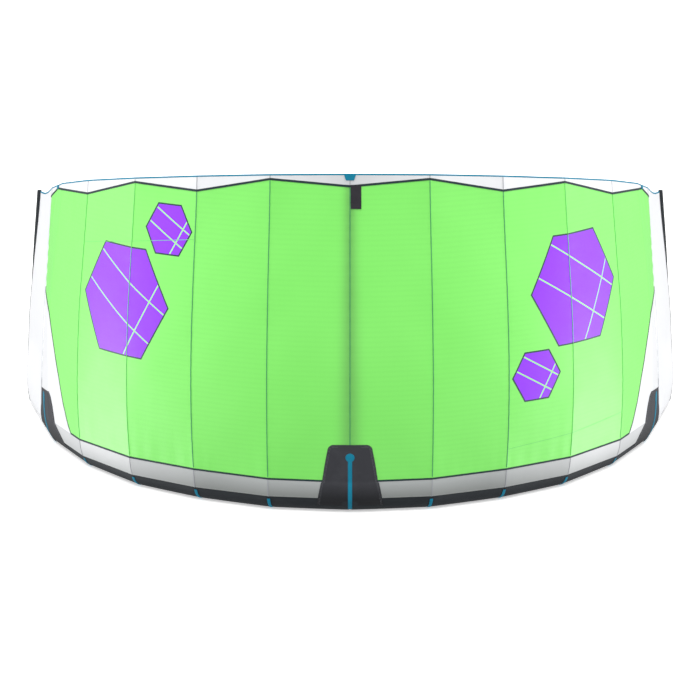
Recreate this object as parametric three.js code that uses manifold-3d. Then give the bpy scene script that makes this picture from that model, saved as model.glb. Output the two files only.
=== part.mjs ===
// Inflatable kitesurfing kite, standing on its leading edge, in millimetres, +Z up.
// The kite is symmetric about x = 0. Its convex outer side faces -Y, its tips reach towards +Y,
// the leading-edge tube lies on the floor (z = 0) and the trailing edge is at the top.

import * as THREE from 'three';
import { mergeVertices } from 'three/addons/utils/BufferGeometryUtils.js';
import Module from 'manifold-3d';

// Driving dimensions

const GAP = 0.3; // clearance kept between neighbouring pieces
const CLOTH = 2; // thickness of canopy cloth
const TUBE_SIDES = 16; // one flat side of the tube lies on the floor
const STRUT_SIDES = 12;
const PANEL_CELLS = 4; // cells across one canopy panel
const PANEL_ROWS = 9; // cells along the chord of one canopy panel
const GUSSET_ROWS = 6;
const BILLOW = 14; // height of the balloon in the middle of a panel
const BINDING_WIDTH = 7;
const TAPE_WIDTH = 8;
const OVERLAY_LIFT = 0.8; // a patch floats this far over the cloth it is sewn on
const OVERLAY_THICK = 1.2;

// One row per seam between panels, from the middle of the kite outwards.
// x, y: tube axis in plan; tube: tube radius; baseOut, baseUp: where the canopy meets the white
// leading-edge cloth; teOut, teUp: trailing edge; drawn: how far the trailing edge is drawn back
// towards the middle; belly: camber. Outsets are measured from the tube axis, away from the
// inside of the kite.
const SEAMS = [
  {
    x: 0, y: 0, tube: 100, baseOut: 104, baseUp: 180,
    teOut: 0, teUp: 1795, drawn: 0, belly: 38,
  },
  {
    x: 404, y: 45, tube: 98, baseOut: 104, baseUp: 182,
    teOut: 3, teUp: 1784, drawn: 0, belly: 38,
  },
  {
    x: 778, y: 187, tube: 92, baseOut: 106, baseUp: 184,
    teOut: 12, teUp: 1748, drawn: 0, belly: 42,
  },
  {
    x: 1115, y: 391, tube: 84, baseOut: 104, baseUp: 176,
    teOut: 8, teUp: 1693, drawn: 0, belly: 38,
  },
  {
    x: 1408, y: 709, tube: 74, baseOut: 95, baseUp: 162,
    teOut: -10, teUp: 1609, drawn: 0, belly: 33,
  },
  {
    x: 1633, y: 1103, tube: 63, baseOut: 78, baseUp: 150,
    teOut: -28, teUp: 1519, drawn: 70, belly: 22,
  },
  {
    x: 1737, y: 1406, tube: 53, baseOut: 54, baseUp: 140,
    teOut: -33, teUp: 1436, drawn: 110, belly: 8,
  },
];

// Depth of the white trailing-edge strip, down to the middle of its tape, by seam number
const TE_BAND = [
  { at: 0, value: 62 }, { at: 1, value: 23 }, { at: 2, value: 76 }, { at: 3, value: 22 },
  { at: 4, value: 72 }, { at: 5.4, value: 18 }, { at: 6, value: 50 },
];

// Share of the chord at which the green cloth starts over the outer panel's white gusset
const GREEN_EDGE = [
  { at: 4, value: 0 }, { at: 4.28, value: 0 }, { at: 4.6, value: 0.21 }, { at: 5, value: 0.46 },
  { at: 6, value: 0.545 },
];

// The tip of the leading edge: it leaves the floor and sweeps up to the trailing-edge corner.
// facing: compass angle of the outer side in plan, in degrees; share: place along the tip panel;
// sewn: angle round the tube, from its outer side to its front, of the panel's edge;
// seat: outer face of the cloth over the tube there.
const TIP = [
  { x: 1856, y: 1794, z: 45.6, tube: 46, facing: 73.5, share: 0, sewn: -11.25, seat: 6 },
  { x: 1900, y: 1985, z: 180, tube: 42, facing: 75, share: 0.15, sewn: -11.25, seat: 4 },
  { x: 1896, y: 2070, z: 417, tube: 36, facing: 76.5, share: 0.34, sewn: -11.25, seat: 3 },
  { x: 1876, y: 2110, z: 834, tube: 25, facing: 76.5, share: 0.68, sewn: 48, seat: 3 },
  { x: 1845, y: 2100, z: 1244, tube: 14, facing: 76, share: 1, sewn: 112, seat: 3 },
];
const TIP_CELLS = 6;
const TIP_BULGE = 14;
const TIP_CROWN = 5; // height of the tube's closed end
const TIP_KNEE = { height: 15, upTo: 0.3 }; // the cloth rounds the tube's upward bend
const KNEE_SCALE = 6.75; // 1 over the highest value of side squared times (1 - side)
const TIP_EDGE_DIP = 18; // the trailing edge hangs in a shallow curve between strut and tip
const TIP_CHORD = 1250;
const TIP_ROWS = [0, 0.075, 0.15, 0.24, 0.34, 0.45, 0.56, 0.68, 0.79, 0.9, 1];

// Columns of the wide outer panel, as seam numbers
const OUTER_COLUMNS = [4, 4.28, 4.44, 4.6, 4.8, 5, 5.2, 5.4, 5.6, 5.8, 6];
const OUTER_SEAM = 6;
const FOOT = -0.9; // lower edge of the white leading-edge cloth, as a level of the skin

// seat: from the cloth's inner face to the strut, where the panels bend most
const CENTRE_STRUT = { atLe: 46, atTe: 30, seat: 1.3 };
const STRUT_VALLEY = 9; // degrees by which the panels turn in over a strut
const SIDE_STRUT = { atLe: 32, atTe: 22, seat: 0.6, inboard: 0.61 };

// Colours and finish of each kind of cloth

const FINISH = {
  green: { color: 0x86ee6c, roughness: 0.45, metalness: 0 },
  white: { color: 0xf2f4f6, roughness: 0.55, metalness: 0 },
  charcoal: { color: 0x343a3f, roughness: 0.6, metalness: 0 },
  teal: { color: 0x2390b4, roughness: 0.5, metalness: 0 },
  tape: { color: 0x1e2f33, roughness: 0.6, metalness: 0 },
  pale: { color: 0xdfe2e4, roughness: 0.55, metalness: 0 },
};

const HUMP_TOP = 0.1768; // highest value of the camber curve, which scales it to 1
const rad = THREE.MathUtils.degToRad;
const lerp = THREE.MathUtils.lerp;
const clamp = THREE.MathUtils.clamp;
const HALF_SIDE = Math.PI / TUBE_SIDES;
const FRONT_CORNER = -HALF_SIDE; // lower corner of the tube's front side
const CORNER_STEP = 2 * HALF_SIDE;
const CLOTH_SEAT = 2.7; // outer face of cloth that lies on the tube's corner

// Leading-edge axis, with a frame at each station

function axisStations() {
  const floor = (row) => row.tube * Math.cos(HALF_SIDE);
  const rows = SEAMS.concat(TIP);
  const points = rows.map((row) => new THREE.Vector3(row.x, row.y, row.z ?? floor(row)));
  return rows.map((row, i) => {
    const here = points[i];
    const before = i === 0 ? new THREE.Vector3(-points[1].x, points[1].y, here.z) : points[i - 1];
    const into = here.clone().sub(before);
    const onward = i === rows.length - 1 ? into.clone() : points[i + 1].clone().sub(here);
    if (i < SEAMS.length) into.z = onward.z = 0;
    const along = into.normalize().clone().add(onward.normalize()).normalize();
    const plan = row.facing === undefined ? Math.atan2(along.y, along.x) : rad(row.facing);
    const outward = new THREE.Vector3(Math.sin(plan), -Math.cos(plan), 0);
    outward.addScaledVector(along, -outward.dot(along)).normalize();
    const upward = outward.clone().cross(along);
    const yaw = Math.abs(Math.asin(clamp(into.dot(outward), -1, 1)));
    const pitch = Math.abs(Math.asin(clamp(into.dot(upward), -1, 1)));
    return {
      at: here, along, outward, upward, radius: row.tube,
      wide: 1 / Math.cos(yaw), tall: 1 / Math.cos(pitch),
    };
  });
}

const AXIS = axisStations();

// Point on the tube's many-sided skin, at a station, an angle and an extra lift
function tubePoint(station, angle, lift = 0) {
  const reach = station.radius;
  const sideways = (reach * Math.cos(angle)) * station.wide + lift * Math.cos(angle);
  const upwards = (reach * Math.sin(angle)) * station.tall + lift * Math.sin(angle);
  return station.at.clone()
    .addScaledVector(station.outward, sideways)
    .addScaledVector(station.upward, upwards);
}

// Kite skin at one seam, as outset and height. Level 1 is the trailing edge, 0 the canopy's base,
// -1 the edge of the white cloth on the tube, and -2, -3, -4 are the tube's next corners down.
function seamSection(row, station, level) {
  const corner = (n) => {
    const angle = FRONT_CORNER - CORNER_STEP * n;
    return {
      out: row.tube * Math.cos(angle) * station.wide,
      up: station.at.z + row.tube * Math.sin(angle),
    };
  };
  if (level >= 0) {
    const hump = level * Math.pow(1 - level, 1.6) / HUMP_TOP;
    return {
      out: lerp(row.baseOut, row.teOut, level) + row.belly * hump,
      up: lerp(row.baseUp, row.teUp, level),
    };
  }
  if (level >= -1) {
    const foot = corner(0);
    return {
      out: lerp(row.baseOut, foot.out + CLOTH_SEAT, -level),
      up: lerp(row.baseUp, foot.up, -level),
    };
  }
  const step = -level - 1;
  const n = Math.min(Math.floor(step), 2);
  const share = step - n;
  return {
    out: lerp(corner(n).out, corner(n + 1).out, share),
    up: lerp(corner(n).up, corner(n + 1).up, share),
  };
}

function seamPoint(index, level) {
  const row = SEAMS[index];
  const station = AXIS[index];
  const plan = new THREE.Vector3(station.outward.x, station.outward.y, 0).normalize();
  const here = seamSection(row, station, level);
  const step = 0.02;
  const lowest = level >= -1 ? -1 : -4;
  const highest = level >= -1 ? 1 : -1 - 1e-6;
  const low = seamSection(row, station, Math.max(level - step, lowest));
  const high = seamSection(row, station, Math.min(level + step, highest));
  const slope = new THREE.Vector2(high.out - low.out, high.up - low.up).normalize();
  const point = new THREE.Vector3(row.x, row.y, here.up).addScaledVector(plan, here.out);
  point.addScaledVector(station.along, -row.drawn * clamp(level, 0, 1));
  const normal = plan.clone().multiplyScalar(slope.y);
  normal.z = -slope.x;
  return { point, normal: normal.normalize() };
}

// Kite skin anywhere between the seams; across is a seam number, negative on the left side
function skin(across, level) {
  const a = Math.abs(across);
  const left = Math.min(Math.floor(a), SEAMS.length - 2);
  const share = a - left;
  const inner = seamPoint(left, level);
  const outer = seamPoint(left + 1, level);
  const point = inner.point.lerp(outer.point, share);
  const normal = inner.normal.lerp(outer.normal, share).normalize();
  const panelShare = a < 4 ? share : (a - 4) / 2;
  const swell = 4 * panelShare * (1 - panelShare) * Math.sin(Math.PI * clamp(level, 0, 1));
  point.addScaledVector(normal, BILLOW * swell);
  if (across < 0) {
    point.x = -point.x;
    normal.x = -normal.x;
  }
  return { point, normal };
}

const chordAt = (a) => {
  const left = Math.min(Math.floor(a), SEAMS.length - 2);
  const tall = (row) => row.teUp - row.baseUp;
  return lerp(tall(SEAMS[left]), tall(SEAMS[left + 1]), a - left);
};

const belowEdge = (a, depth) => 1 - depth / chordAt(a);

// Value of a table at a seam number, straight between its rows
function tableAt(table, a) {
  if (a <= table[0].at) return table[0].value;
  const last = table.length - 1;
  const next = Math.min(Math.max(table.findIndex((row) => row.at >= a), 1), last);
  const [low, high] = [table[next - 1], table[next]];
  return lerp(low.value, high.value, clamp((a - low.at) / (high.at - low.at), 0, 1));
}

const greenStart = (a) => tableAt(GREEN_EDGE, a);

// Tip panel between the outermost seam and the rising tube; side 0 is the seam, 1 the tube
function tipEdge(share) {
  let i = 0;
  while (i < TIP.length - 2 && share > TIP[i + 1].share) i += 1;
  const f = (share - TIP[i].share) / (TIP[i + 1].share - TIP[i].share);
  const first = AXIS[SEAMS.length + i];
  const second = AXIS[SEAMS.length + i + 1];
  const sewn = rad(lerp(TIP[i].sewn, TIP[i + 1].sewn, f));
  const point = tubePoint(first, sewn, TIP[i].seat).lerp(tubePoint(second, sewn, TIP[i + 1].seat), f);
  const normal = first.outward.clone().lerp(second.outward, f).normalize();
  return { point, normal };
}

function tipSeamLevel(share) {
  const row = SEAMS[OUTER_SEAM];
  const foot = seamSection(row, AXIS[OUTER_SEAM], -1).up;
  const height = lerp(foot, row.teUp, share);
  if (height >= row.baseUp) return (height - row.baseUp) / (row.teUp - row.baseUp);
  return (height - row.baseUp) / (row.baseUp - foot);
}

function tipSkin(side, share) {
  const seam = seamPoint(OUTER_SEAM, tipSeamLevel(share));
  const edge = tipEdge(share);
  const point = seam.point.lerp(edge.point, side);
  const normal = seam.normal.lerp(edge.normal, side).normalize();
  const bulge = TIP_BULGE * 4 * side * (1 - side) * Math.sin(Math.PI * share);
  const rise = Math.sin(Math.PI * clamp(share / TIP_KNEE.upTo, 0, 1));
  const knee = TIP_KNEE.height * rise * KNEE_SCALE * side * side * (1 - side);
  point.addScaledVector(normal, bulge + knee);
  point.z -= TIP_EDGE_DIP * Math.sin(Math.PI * side) * Math.pow(share, 4);
  return { point, normal };
}

// Mesh makers

function geometryFrom(points, faces) {
  const geometry = new THREE.BufferGeometry();
  const flat = [];
  for (const p of points) flat.push(p.x, p.y, p.z);
  geometry.setAttribute('position', new THREE.Float32BufferAttribute(flat, 3));
  geometry.setIndex(faces);
  geometry.computeVertexNormals();
  return geometry;
}

// Closed sheet over a grid of skin places; rows run up, columns run outwards to the right
function sheet(rowCount, columnCount, place, outer = 0, inner = -CLOTH) {
  const points = [];
  for (const lift of [outer, inner]) {
    for (let r = 0; r <= rowCount; r += 1) {
      for (let c = 0; c <= columnCount; c += 1) {
        const { point, normal } = place(r, c);
        points.push(point.addScaledVector(normal, lift));
      }
    }
  }
  const width = columnCount + 1;
  const layer = width * (rowCount + 1);
  const at = (r, c) => r * width + c;
  const faces = [];
  for (let r = 0; r < rowCount; r += 1) {
    for (let c = 0; c < columnCount; c += 1) {
      const [p, q, s, t] = [at(r, c), at(r, c + 1), at(r + 1, c + 1), at(r + 1, c)];
      faces.push(p, q, s, p, s, t);
      faces.push(p + layer, s + layer, q + layer, p + layer, t + layer, s + layer);
    }
  }
  const wall = (from, to) => faces.push(from, from + layer, to + layer, from, to + layer, to);
  for (let c = 0; c < columnCount; c += 1) {
    wall(at(0, c), at(0, c + 1));
    wall(at(rowCount, c + 1), at(rowCount, c));
  }
  for (let r = 0; r < rowCount; r += 1) {
    wall(at(r, columnCount), at(r + 1, columnCount));
    wall(at(r + 1, 0), at(r, 0));
  }
  return geometryFrom(points, faces);
}

// Closed tube through rings of equal corner count; a crown closes the far end in a point
function ringTube(rings, crown = null) {
  const sides = rings[0].length;
  const points = rings.flat();
  const faces = [];
  for (let i = 0; i < rings.length - 1; i += 1) {
    for (let k = 0; k < sides; k += 1) {
      const next = (k + 1) % sides;
      const [a, b] = [i * sides + k, i * sides + next];
      const [c, d] = [a + sides, b + sides];
      faces.push(a, c, b, c, d, b);
    }
  }
  const centre = (ring) => ring.reduce((sum, p) => sum.add(p), new THREE.Vector3()).divideScalar(sides);
  const start = points.length;
  points.push(centre(rings[0]), crown ?? centre(rings[rings.length - 1]));
  const last = (rings.length - 1) * sides;
  for (let k = 0; k < sides; k += 1) {
    const next = (k + 1) % sides;
    faces.push(start, k, next);
    faces.push(start + 1, last + next, last + k);
  }
  return geometryFrom(points, faces);
}

function tubeRing(station, scale = 1, shift = null, extra = 0) {
  const ring = [];
  for (let k = 0; k < TUBE_SIDES; k += 1) {
    const angle = FRONT_CORNER + CORNER_STEP * k;
    const point = tubePoint(station, angle, extra).sub(station.at).multiplyScalar(scale).add(station.at);
    ring.push(shift ? point.add(shift) : point);
  }
  return ring;
}

// Leading-edge tube from one station to another, mitred at both ends
function tubeSection(from, to, extra = 0) {
  const gapAt = (i, j) => AXIS[j].at.clone().sub(AXIS[i].at).normalize().multiplyScalar(GAP / 2);
  const rings = [];
  for (let i = from; i <= to; i += 1) {
    let shift = null;
    if (i === from) shift = gapAt(from, from + 1);
    if (i === to && to < AXIS.length - 1) shift = gapAt(to, to - 1);
    rings.push(tubeRing(AXIS[i], 1, shift, extra));
  }
  if (to < AXIS.length - 1) return ringTube(rings);
  const end = AXIS[to];
  for (const turn of [30, 60]) {
    const shift = end.along.clone().multiplyScalar(TIP_CROWN * Math.sin(rad(turn)));
    rings.push(tubeRing(end, Math.cos(rad(turn)), shift));
  }
  return ringTube(rings, end.at.clone().addScaledVector(end.along, TIP_CROWN));
}

// Strut on the inner side of the canopy; path gives the seam number at each level
function strutTube(path, { atLe, atTe, seat }, from, to, steps) {
  const spine = [];
  for (let i = 0; i <= steps; i += 1) {
    const level = lerp(from, to, i / steps);
    const radius = lerp(atLe, atTe, clamp(level, 0, 1));
    const { point, normal } = skin(path(level), level);
    const depth = CLOTH + seat + radius / Math.cos(rad(STRUT_VALLEY));
    spine.push({ at: point.addScaledVector(normal, -depth), normal, radius });
  }
  const rings = [];
  const ringAt = (place, along, scale, push) => {
    const side = along.clone().cross(place.normal).normalize();
    const front = side.clone().cross(along).normalize();
    const ring = [];
    for (let k = 0; k < STRUT_SIDES; k += 1) {
      const angle = 2 * Math.PI * (k + 0.5) / STRUT_SIDES;
      const point = place.at.clone()
        .addScaledVector(front, place.radius * scale * Math.cos(angle))
        .addScaledVector(side, -place.radius * scale * Math.sin(angle))
        .addScaledVector(along, push);
      ring.push(point);
    }
    return ring;
  };
  let along = null;
  spine.forEach((place, i) => {
    const before = spine[Math.max(i - 1, 0)].at;
    const after = spine[Math.min(i + 1, steps)].at;
    along = after.clone().sub(before).normalize();
    rings.push(ringAt(place, along, 1, 0));
  });
  const end = spine[steps];
  rings.push(ringAt(end, along, 0.8, end.radius * 0.6));
  return ringTube(rings, end.at.clone().addScaledVector(along, end.radius));
}

// Closed mesh cut by others, with the solids library
const wasm = await Module();
wasm.setup();

function toSolid(geometry) {
  const bare = geometry.clone();
  bare.deleteAttribute('normal');
  const merged = mergeVertices(bare, 1e-4);
  return new wasm.Manifold(new wasm.Mesh({
    numProp: 3,
    vertProperties: new Float32Array(merged.getAttribute('position').array),
    triVerts: new Uint32Array(merged.getIndex().array),
  }));
}

function cutAway(geometry, tools) {
  let solid = toSolid(geometry);
  for (const tool of tools) solid = solid.subtract(toSolid(tool));
  const mesh = solid.getMesh();
  const points = [];
  for (let i = 0; i < mesh.vertProperties.length; i += 3) {
    points.push(new THREE.Vector3(...mesh.vertProperties.slice(i, i + 3)));
  }
  return geometryFrom(points, Array.from(mesh.triVerts));
}

function mirrored(geometry) {
  const copy = geometry.clone();
  const position = copy.getAttribute('position');
  for (let i = 0; i < position.count; i += 1) position.setX(i, -position.getX(i));
  const index = Array.from(copy.getIndex().array);
  for (let i = 0; i < index.length; i += 3) {
    [index[i + 1], index[i + 2]] = [index[i + 2], index[i + 1]];
  }
  copy.setIndex(index);
  copy.computeVertexNormals();
  return copy;
}

// Assembly

const kite = new THREE.Group();

function add(name, geometry, finish) {
  const mesh = new THREE.Mesh(geometry, new THREE.MeshStandardMaterial(FINISH[finish]));
  mesh.name = name;
  kite.add(mesh);
}

function addPair(name, geometry, finish) {
  const [stem, number] = name.split('#');
  const suffix = number === undefined ? '' : `_${number}`;
  add(`${stem}_right${suffix}`, geometry, finish);
  add(`${stem}_left${suffix}`, mirrored(geometry), finish);
}

// Columns of a panel, kept half a gap clear of both seams
function insetColumns(columns, inset = GAP / 2) {
  const width = (a, b) => skin(a, 0.5).point.distanceTo(skin(b, 0.5).point);
  const last = columns.length - 1;
  return columns.map((a, i) => {
    if (i === 0) return a + inset * (columns[1] - a) / width(a, columns[1]);
    if (i === last) return a - inset * (a - columns[i - 1]) / width(columns[i - 1], a);
    return a;
  });
}

function evenColumns(from, to, cells) {
  return Array.from({ length: cells + 1 }, (_, i) => lerp(from, to, i / cells));
}

// Cloth between a lower and an upper line, each given as a level for a seam number
function clothBetween(columns, lower, upper, rows, outer = 0, inner = -CLOTH) {
  return sheet(rows, columns.length - 1, (r, c) => {
    const a = columns[c];
    return skin(a, lerp(lower(a), upper(a), r / rows));
  }, outer, inner);
}

const bindingLine = (a) => belowEdge(a, BINDING_WIDTH);
const tapeTop = (a) => belowEdge(a, tableAt(TE_BAND, a) - TAPE_WIDTH / 2);
const tapeFoot = (a) => belowEdge(a, tableAt(TE_BAND, a) + TAPE_WIDTH / 2);
const raised = (line, distance) => (a) => line(a) + distance / chordAt(a);

const PANEL_COLUMNS = [];
for (let i = 0; i < 4; i += 1) PANEL_COLUMNS.push(evenColumns(i, i + 1, PANEL_CELLS));
PANEL_COLUMNS.push(OUTER_COLUMNS);
const SPAN_COLUMNS = PANEL_COLUMNS.flatMap((columns, i) => (i === 0 ? columns : columns.slice(1)));

function addCanopy() {
  PANEL_COLUMNS.forEach((columns, i) => {
    const panel = clothBetween(
      insetColumns(columns), raised(greenStart, TAPE_WIDTH + GAP), raised(tapeFoot, -GAP), PANEL_ROWS);
    addPair(`canopy_panel#${i + 1}`, panel, 'green');
  });
  const span = insetColumns(SPAN_COLUMNS);
  addPair('te_strip', clothBetween(span, raised(tapeTop, GAP), raised(bindingLine, -GAP), 1), 'white');
  addPair('te_tape', clothBetween(span, tapeFoot, tapeTop, 1, 0.5), 'tape');
  addPair('le_tape', clothBetween(span, greenStart, raised(greenStart, TAPE_WIDTH), 1, 0.5), 'tape');
}

function addLeadingCloth() {
  const inner = insetColumns(SPAN_COLUMNS.filter((a) => a <= 4));
  addPair('le_strip', clothBetween(inner, () => FOOT, raised(() => 0, -GAP), 2), 'pale');
  const outer = insetColumns(OUTER_COLUMNS);
  const gusset = sheet(GUSSET_ROWS, outer.length - 1, (r, c) => {
    const a = outer[c];
    const foot = skin(a, FOOT).point.distanceTo(skin(a, 0).point);
    const chord = chordAt(a);
    const height = (foot + greenStart(a) * chord - GAP) * r / GUSSET_ROWS;
    return skin(a, height < foot ? FOOT * (1 - height / foot) : (height - foot) / chord);
  });
  addPair('gusset', gusset, 'white');
}

function addTip() {
  const start = 0.0004; // half a gap to the neighbouring panel, as a share of the width
  const finish = 1 - (BINDING_WIDTH + GAP) / TIP_CHORD;
  const panel = sheet(TIP_ROWS.length - 1, TIP_CELLS, (r, c) => {
    return tipSkin(lerp(start, 1, c / TIP_CELLS), Math.min(TIP_ROWS[r], finish));
  });
  addPair('tip_panel', panel, 'white');
}

function addBinding() {
  const columns = insetColumns(SPAN_COLUMNS);
  const count = columns.length + TIP_CELLS - 1;
  const binding = sheet(1, count, (r, c) => {
    if (c < columns.length) {
      const a = columns[c];
      return skin(a, r === 0 ? bindingLine(a) : 1);
    }
    const side = (c - columns.length + 1) / TIP_CELLS;
    return tipSkin(side, r === 0 ? 1 - BINDING_WIDTH / TIP_CHORD : 1);
  }, 0.6, -CLOTH - 0.6);
  addPair('te_binding', binding, 'teal');
}

function addLeadingEdge() {
  const cuts = [0, 1, 2, 3, 4, 6, AXIS.length - 1];
  for (let i = 0; i < cuts.length - 1; i += 1) {
    addPair(`le_tube#${i + 1}`, tubeSection(cuts[i], cuts[i + 1]), 'charcoal');
  }
}

function addStruts() {
  const wide = tubeSection(0, 1, GAP + 0.2);
  const centre = strutTube(() => 0, CENTRE_STRUT, -0.6, 0.965, 9);
  add('strut_centre', cutAway(centre, [wide, mirrored(wide)]), 'white');
  const bend = (level) => OUTER_SEAM - SIDE_STRUT.inboard * Math.pow(clamp(2 * level - 1, 0, 1), 2);
  const side = strutTube(bend, SIDE_STRUT, 0, 0.97, 9);
  const tools = [tubeSection(4, 6, GAP + 0.2), tubeSection(6, AXIS.length - 1, GAP + 0.2)];
  addPair('strut_side', cutAway(side, tools), 'white');
}

// Patches, straps and tabs lie over the cloth; each row gives a level and its two ends.
// One that crosses a seam where the tube turns has its middle column on that seam; fall is the
// level by which its top edge drops from its first end to the other.
function overlay(rows, cells, lift = OVERLAY_LIFT, turn = null, fall = 0) {
  const across = ({ from, to }, share) => {
    if (turn === null) return lerp(from, to, share);
    return share < 0.5 ? lerp(from, turn, 2 * share) : lerp(turn, to, 2 * share - 1);
  };
  const top = rows[rows.length - 1];
  const place = (r, c) => {
    const { level } = rows[r];
    const a = across(rows[r], c / cells);
    const share = clamp((a - top.from) / (top.to - top.from), 0, 1);
    return skin(a, level - fall * share * clamp(level / top.level, 0, 1));
  };
  return sheet(rows.length - 1, cells, place, lift + OVERLAY_THICK, lift);
}

const centreWidth = SEAMS[1].x;
const heightLevel = (up) => (up - SEAMS[0].baseUp) / (SEAMS[0].teUp - SEAMS[0].baseUp);

function addCentrePieces() {
  const row = (level, half) => ({ level, from: -half / centreWidth, to: half / centreWidth });
  const patch = [
    row(-1.9, 176), row(-1, 170), row(-0.5, 160), row(-0.02, 150), row(heightLevel(280), 130),
    row(heightLevel(364), 114), row(heightLevel(380), 108), row(heightLevel(389), 92),
  ];
  add('centre_patch', overlay(patch, 6), 'charcoal');
  const bar = 11;
  const keyhole = [
    row(-2.9, bar), row(-1.95, bar), row(-1, bar), row(-0.5, bar), row(-0.02, bar),
    row(heightLevel(294), bar), row(heightLevel(300), 16), row(heightLevel(308), 22),
    row(heightLevel(319), 24),
    row(heightLevel(330), 22), row(heightLevel(338), 16), row(heightLevel(343), 6),
  ];
  add('centre_keyhole', overlay(keyhole, 2, OVERLAY_LIFT + OVERLAY_THICK + 0.5), 'teal');
}

function addSidePieces() {
  const patch = [
    { level: -1.9, from: 4.42, to: 5.97 }, { level: -1, from: 4.56, to: 5.97 },
    { level: -0.5, from: 4.65, to: 5.975 }, { level: -0.02, from: 4.79, to: 5.98 },
    { level: 0.07, from: 4.85, to: 5.98 }, { level: 0.11, from: 4.9, to: 5.98 },
    { level: 0.125, from: 4.96, to: 5.95 },
  ];
  addPair('side_patch', overlay(patch, 8, OVERLAY_LIFT, 5, 0.04), 'charcoal');
  const strap = [
    { level: -2.9, from: 5.01, to: 5.13 }, { level: -1.95, from: 5.09, to: 5.21 },
    { level: -1, from: 5.2, to: 5.32 }, { level: -0.5, from: 5.31, to: 5.43 },
    { level: -0.02, from: 5.44, to: 5.56 }, { level: 0.045, from: 5.455, to: 5.575 },
    { level: 0.055, from: 5.43, to: 5.61 }, { level: 0.075, from: 5.43, to: 5.61 },
    { level: 0.088, from: 5.48, to: 5.56 },
  ];
  addPair('side_strap', overlay(strap, 2, OVERLAY_LIFT + OVERLAY_THICK + 0.5), 'teal');
}

function addSeamBands() {
  const half = 8;
  [1, 2, 3, 4].forEach((seam) => {
    const before = half / AXIS[seam].at.distanceTo(AXIS[seam - 1].at);
    const after = half / AXIS[seam].at.distanceTo(AXIS[seam + 1].at);
    const levels = [-3.6, -3, -2, -1.12];
    const columns = [seam - before, seam, seam + after];
    const band = sheet(levels.length - 1, 2, (r, c) => skin(columns[c], levels[r]), 1.6, 0.5);
    addPair(`seam_band#${seam}`, band, 'teal');
  });
}

function addEdgeTabs() {
  const onEdge = (a, depth) => belowEdge(Math.abs(a), depth);
  const tab = (middle, topHalf, footHalf, depth) => [
    { level: onEdge(middle, depth), from: middle - footHalf, to: middle + footHalf },
    { level: onEdge(middle, 0.5), from: middle - topHalf, to: middle + topHalf },
  ];
  add('te_tab_centre', overlay(tab(0, 33 / centreWidth, 22 / centreWidth, 33), 2), 'teal');
  addPair('te_tab', overlay(tab(OUTER_SEAM - SIDE_STRUT.inboard, 0.09, 0.07, 24), 2), 'teal');
  const tag = [
    { level: onEdge(0, 178), from: 4 / centreWidth, to: 60 / centreWidth },
    { level: onEdge(0, 56), from: 4 / centreWidth, to: 60 / centreWidth },
  ];
  add('te_tag', overlay(tag, 2, OVERLAY_LIFT + 0.6), 'charcoal');
}

addLeadingEdge();
addCanopy();
addLeadingCloth();
addTip();
addBinding();
addStruts();
addCentrePieces();
addSidePieces();
addSeamBands();
addEdgeTabs();

// The origin is at the middle of the footprint's box
const extent = new THREE.Box3().setFromObject(kite);
kite.position.y = -(extent.min.y + extent.max.y) / 2;

export default kite;
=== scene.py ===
import math
from collections import namedtuple

import bpy
import numpy as np
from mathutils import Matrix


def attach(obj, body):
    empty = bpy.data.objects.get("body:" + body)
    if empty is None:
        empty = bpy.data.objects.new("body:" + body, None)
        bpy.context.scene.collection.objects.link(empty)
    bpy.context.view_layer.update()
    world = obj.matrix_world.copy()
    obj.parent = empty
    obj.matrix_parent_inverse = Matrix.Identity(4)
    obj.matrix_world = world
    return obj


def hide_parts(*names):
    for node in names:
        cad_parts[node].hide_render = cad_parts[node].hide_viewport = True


# An inflatable kitesurfing kite that stands on its leading edge: convex outer side towards -Y,
# trailing edge up. Sizes are in metres, and every piece lies where its solid lies.

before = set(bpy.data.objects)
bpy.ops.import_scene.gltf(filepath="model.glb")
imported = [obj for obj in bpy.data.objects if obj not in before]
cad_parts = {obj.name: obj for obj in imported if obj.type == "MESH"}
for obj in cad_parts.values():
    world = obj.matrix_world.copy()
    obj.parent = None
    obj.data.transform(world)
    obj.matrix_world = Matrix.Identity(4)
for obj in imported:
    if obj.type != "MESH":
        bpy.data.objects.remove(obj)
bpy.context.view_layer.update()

# Driving sizes, one row per seam from the middle outwards, as in the part

MIDDLE_Y = 1.009756  # plan distance from the nose of the tube's axis to the middle of the footprint

# A seam's place and the tube's radius there; how far out of the tube's axis and how high the
# canopy's foot (base) and the trailing edge (te) lie; how far the trailing edge is drawn towards
# the middle; and the height of the camber
Seam = namedtuple("Seam", "x y tube base_out base_up te_out te_up drawn belly")
SEAMS = [
    Seam(0.000, 0.000, 0.100, 0.104, 0.180, 0.000, 1.795, 0.000, 0.038),
    Seam(0.404, 0.045, 0.098, 0.104, 0.182, 0.003, 1.784, 0.000, 0.038),
    Seam(0.778, 0.187, 0.092, 0.106, 0.184, 0.012, 1.748, 0.000, 0.042),
    Seam(1.115, 0.391, 0.084, 0.104, 0.176, 0.008, 1.693, 0.000, 0.038),
    Seam(1.408, 0.709, 0.074, 0.095, 0.162, -0.010, 1.609, 0.000, 0.033),
    Seam(1.633, 1.103, 0.063, 0.078, 0.150, -0.028, 1.519, 0.070, 0.022),
    Seam(1.737, 1.406, 0.053, 0.054, 0.140, -0.033, 1.436, 0.110, 0.008),
]
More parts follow.
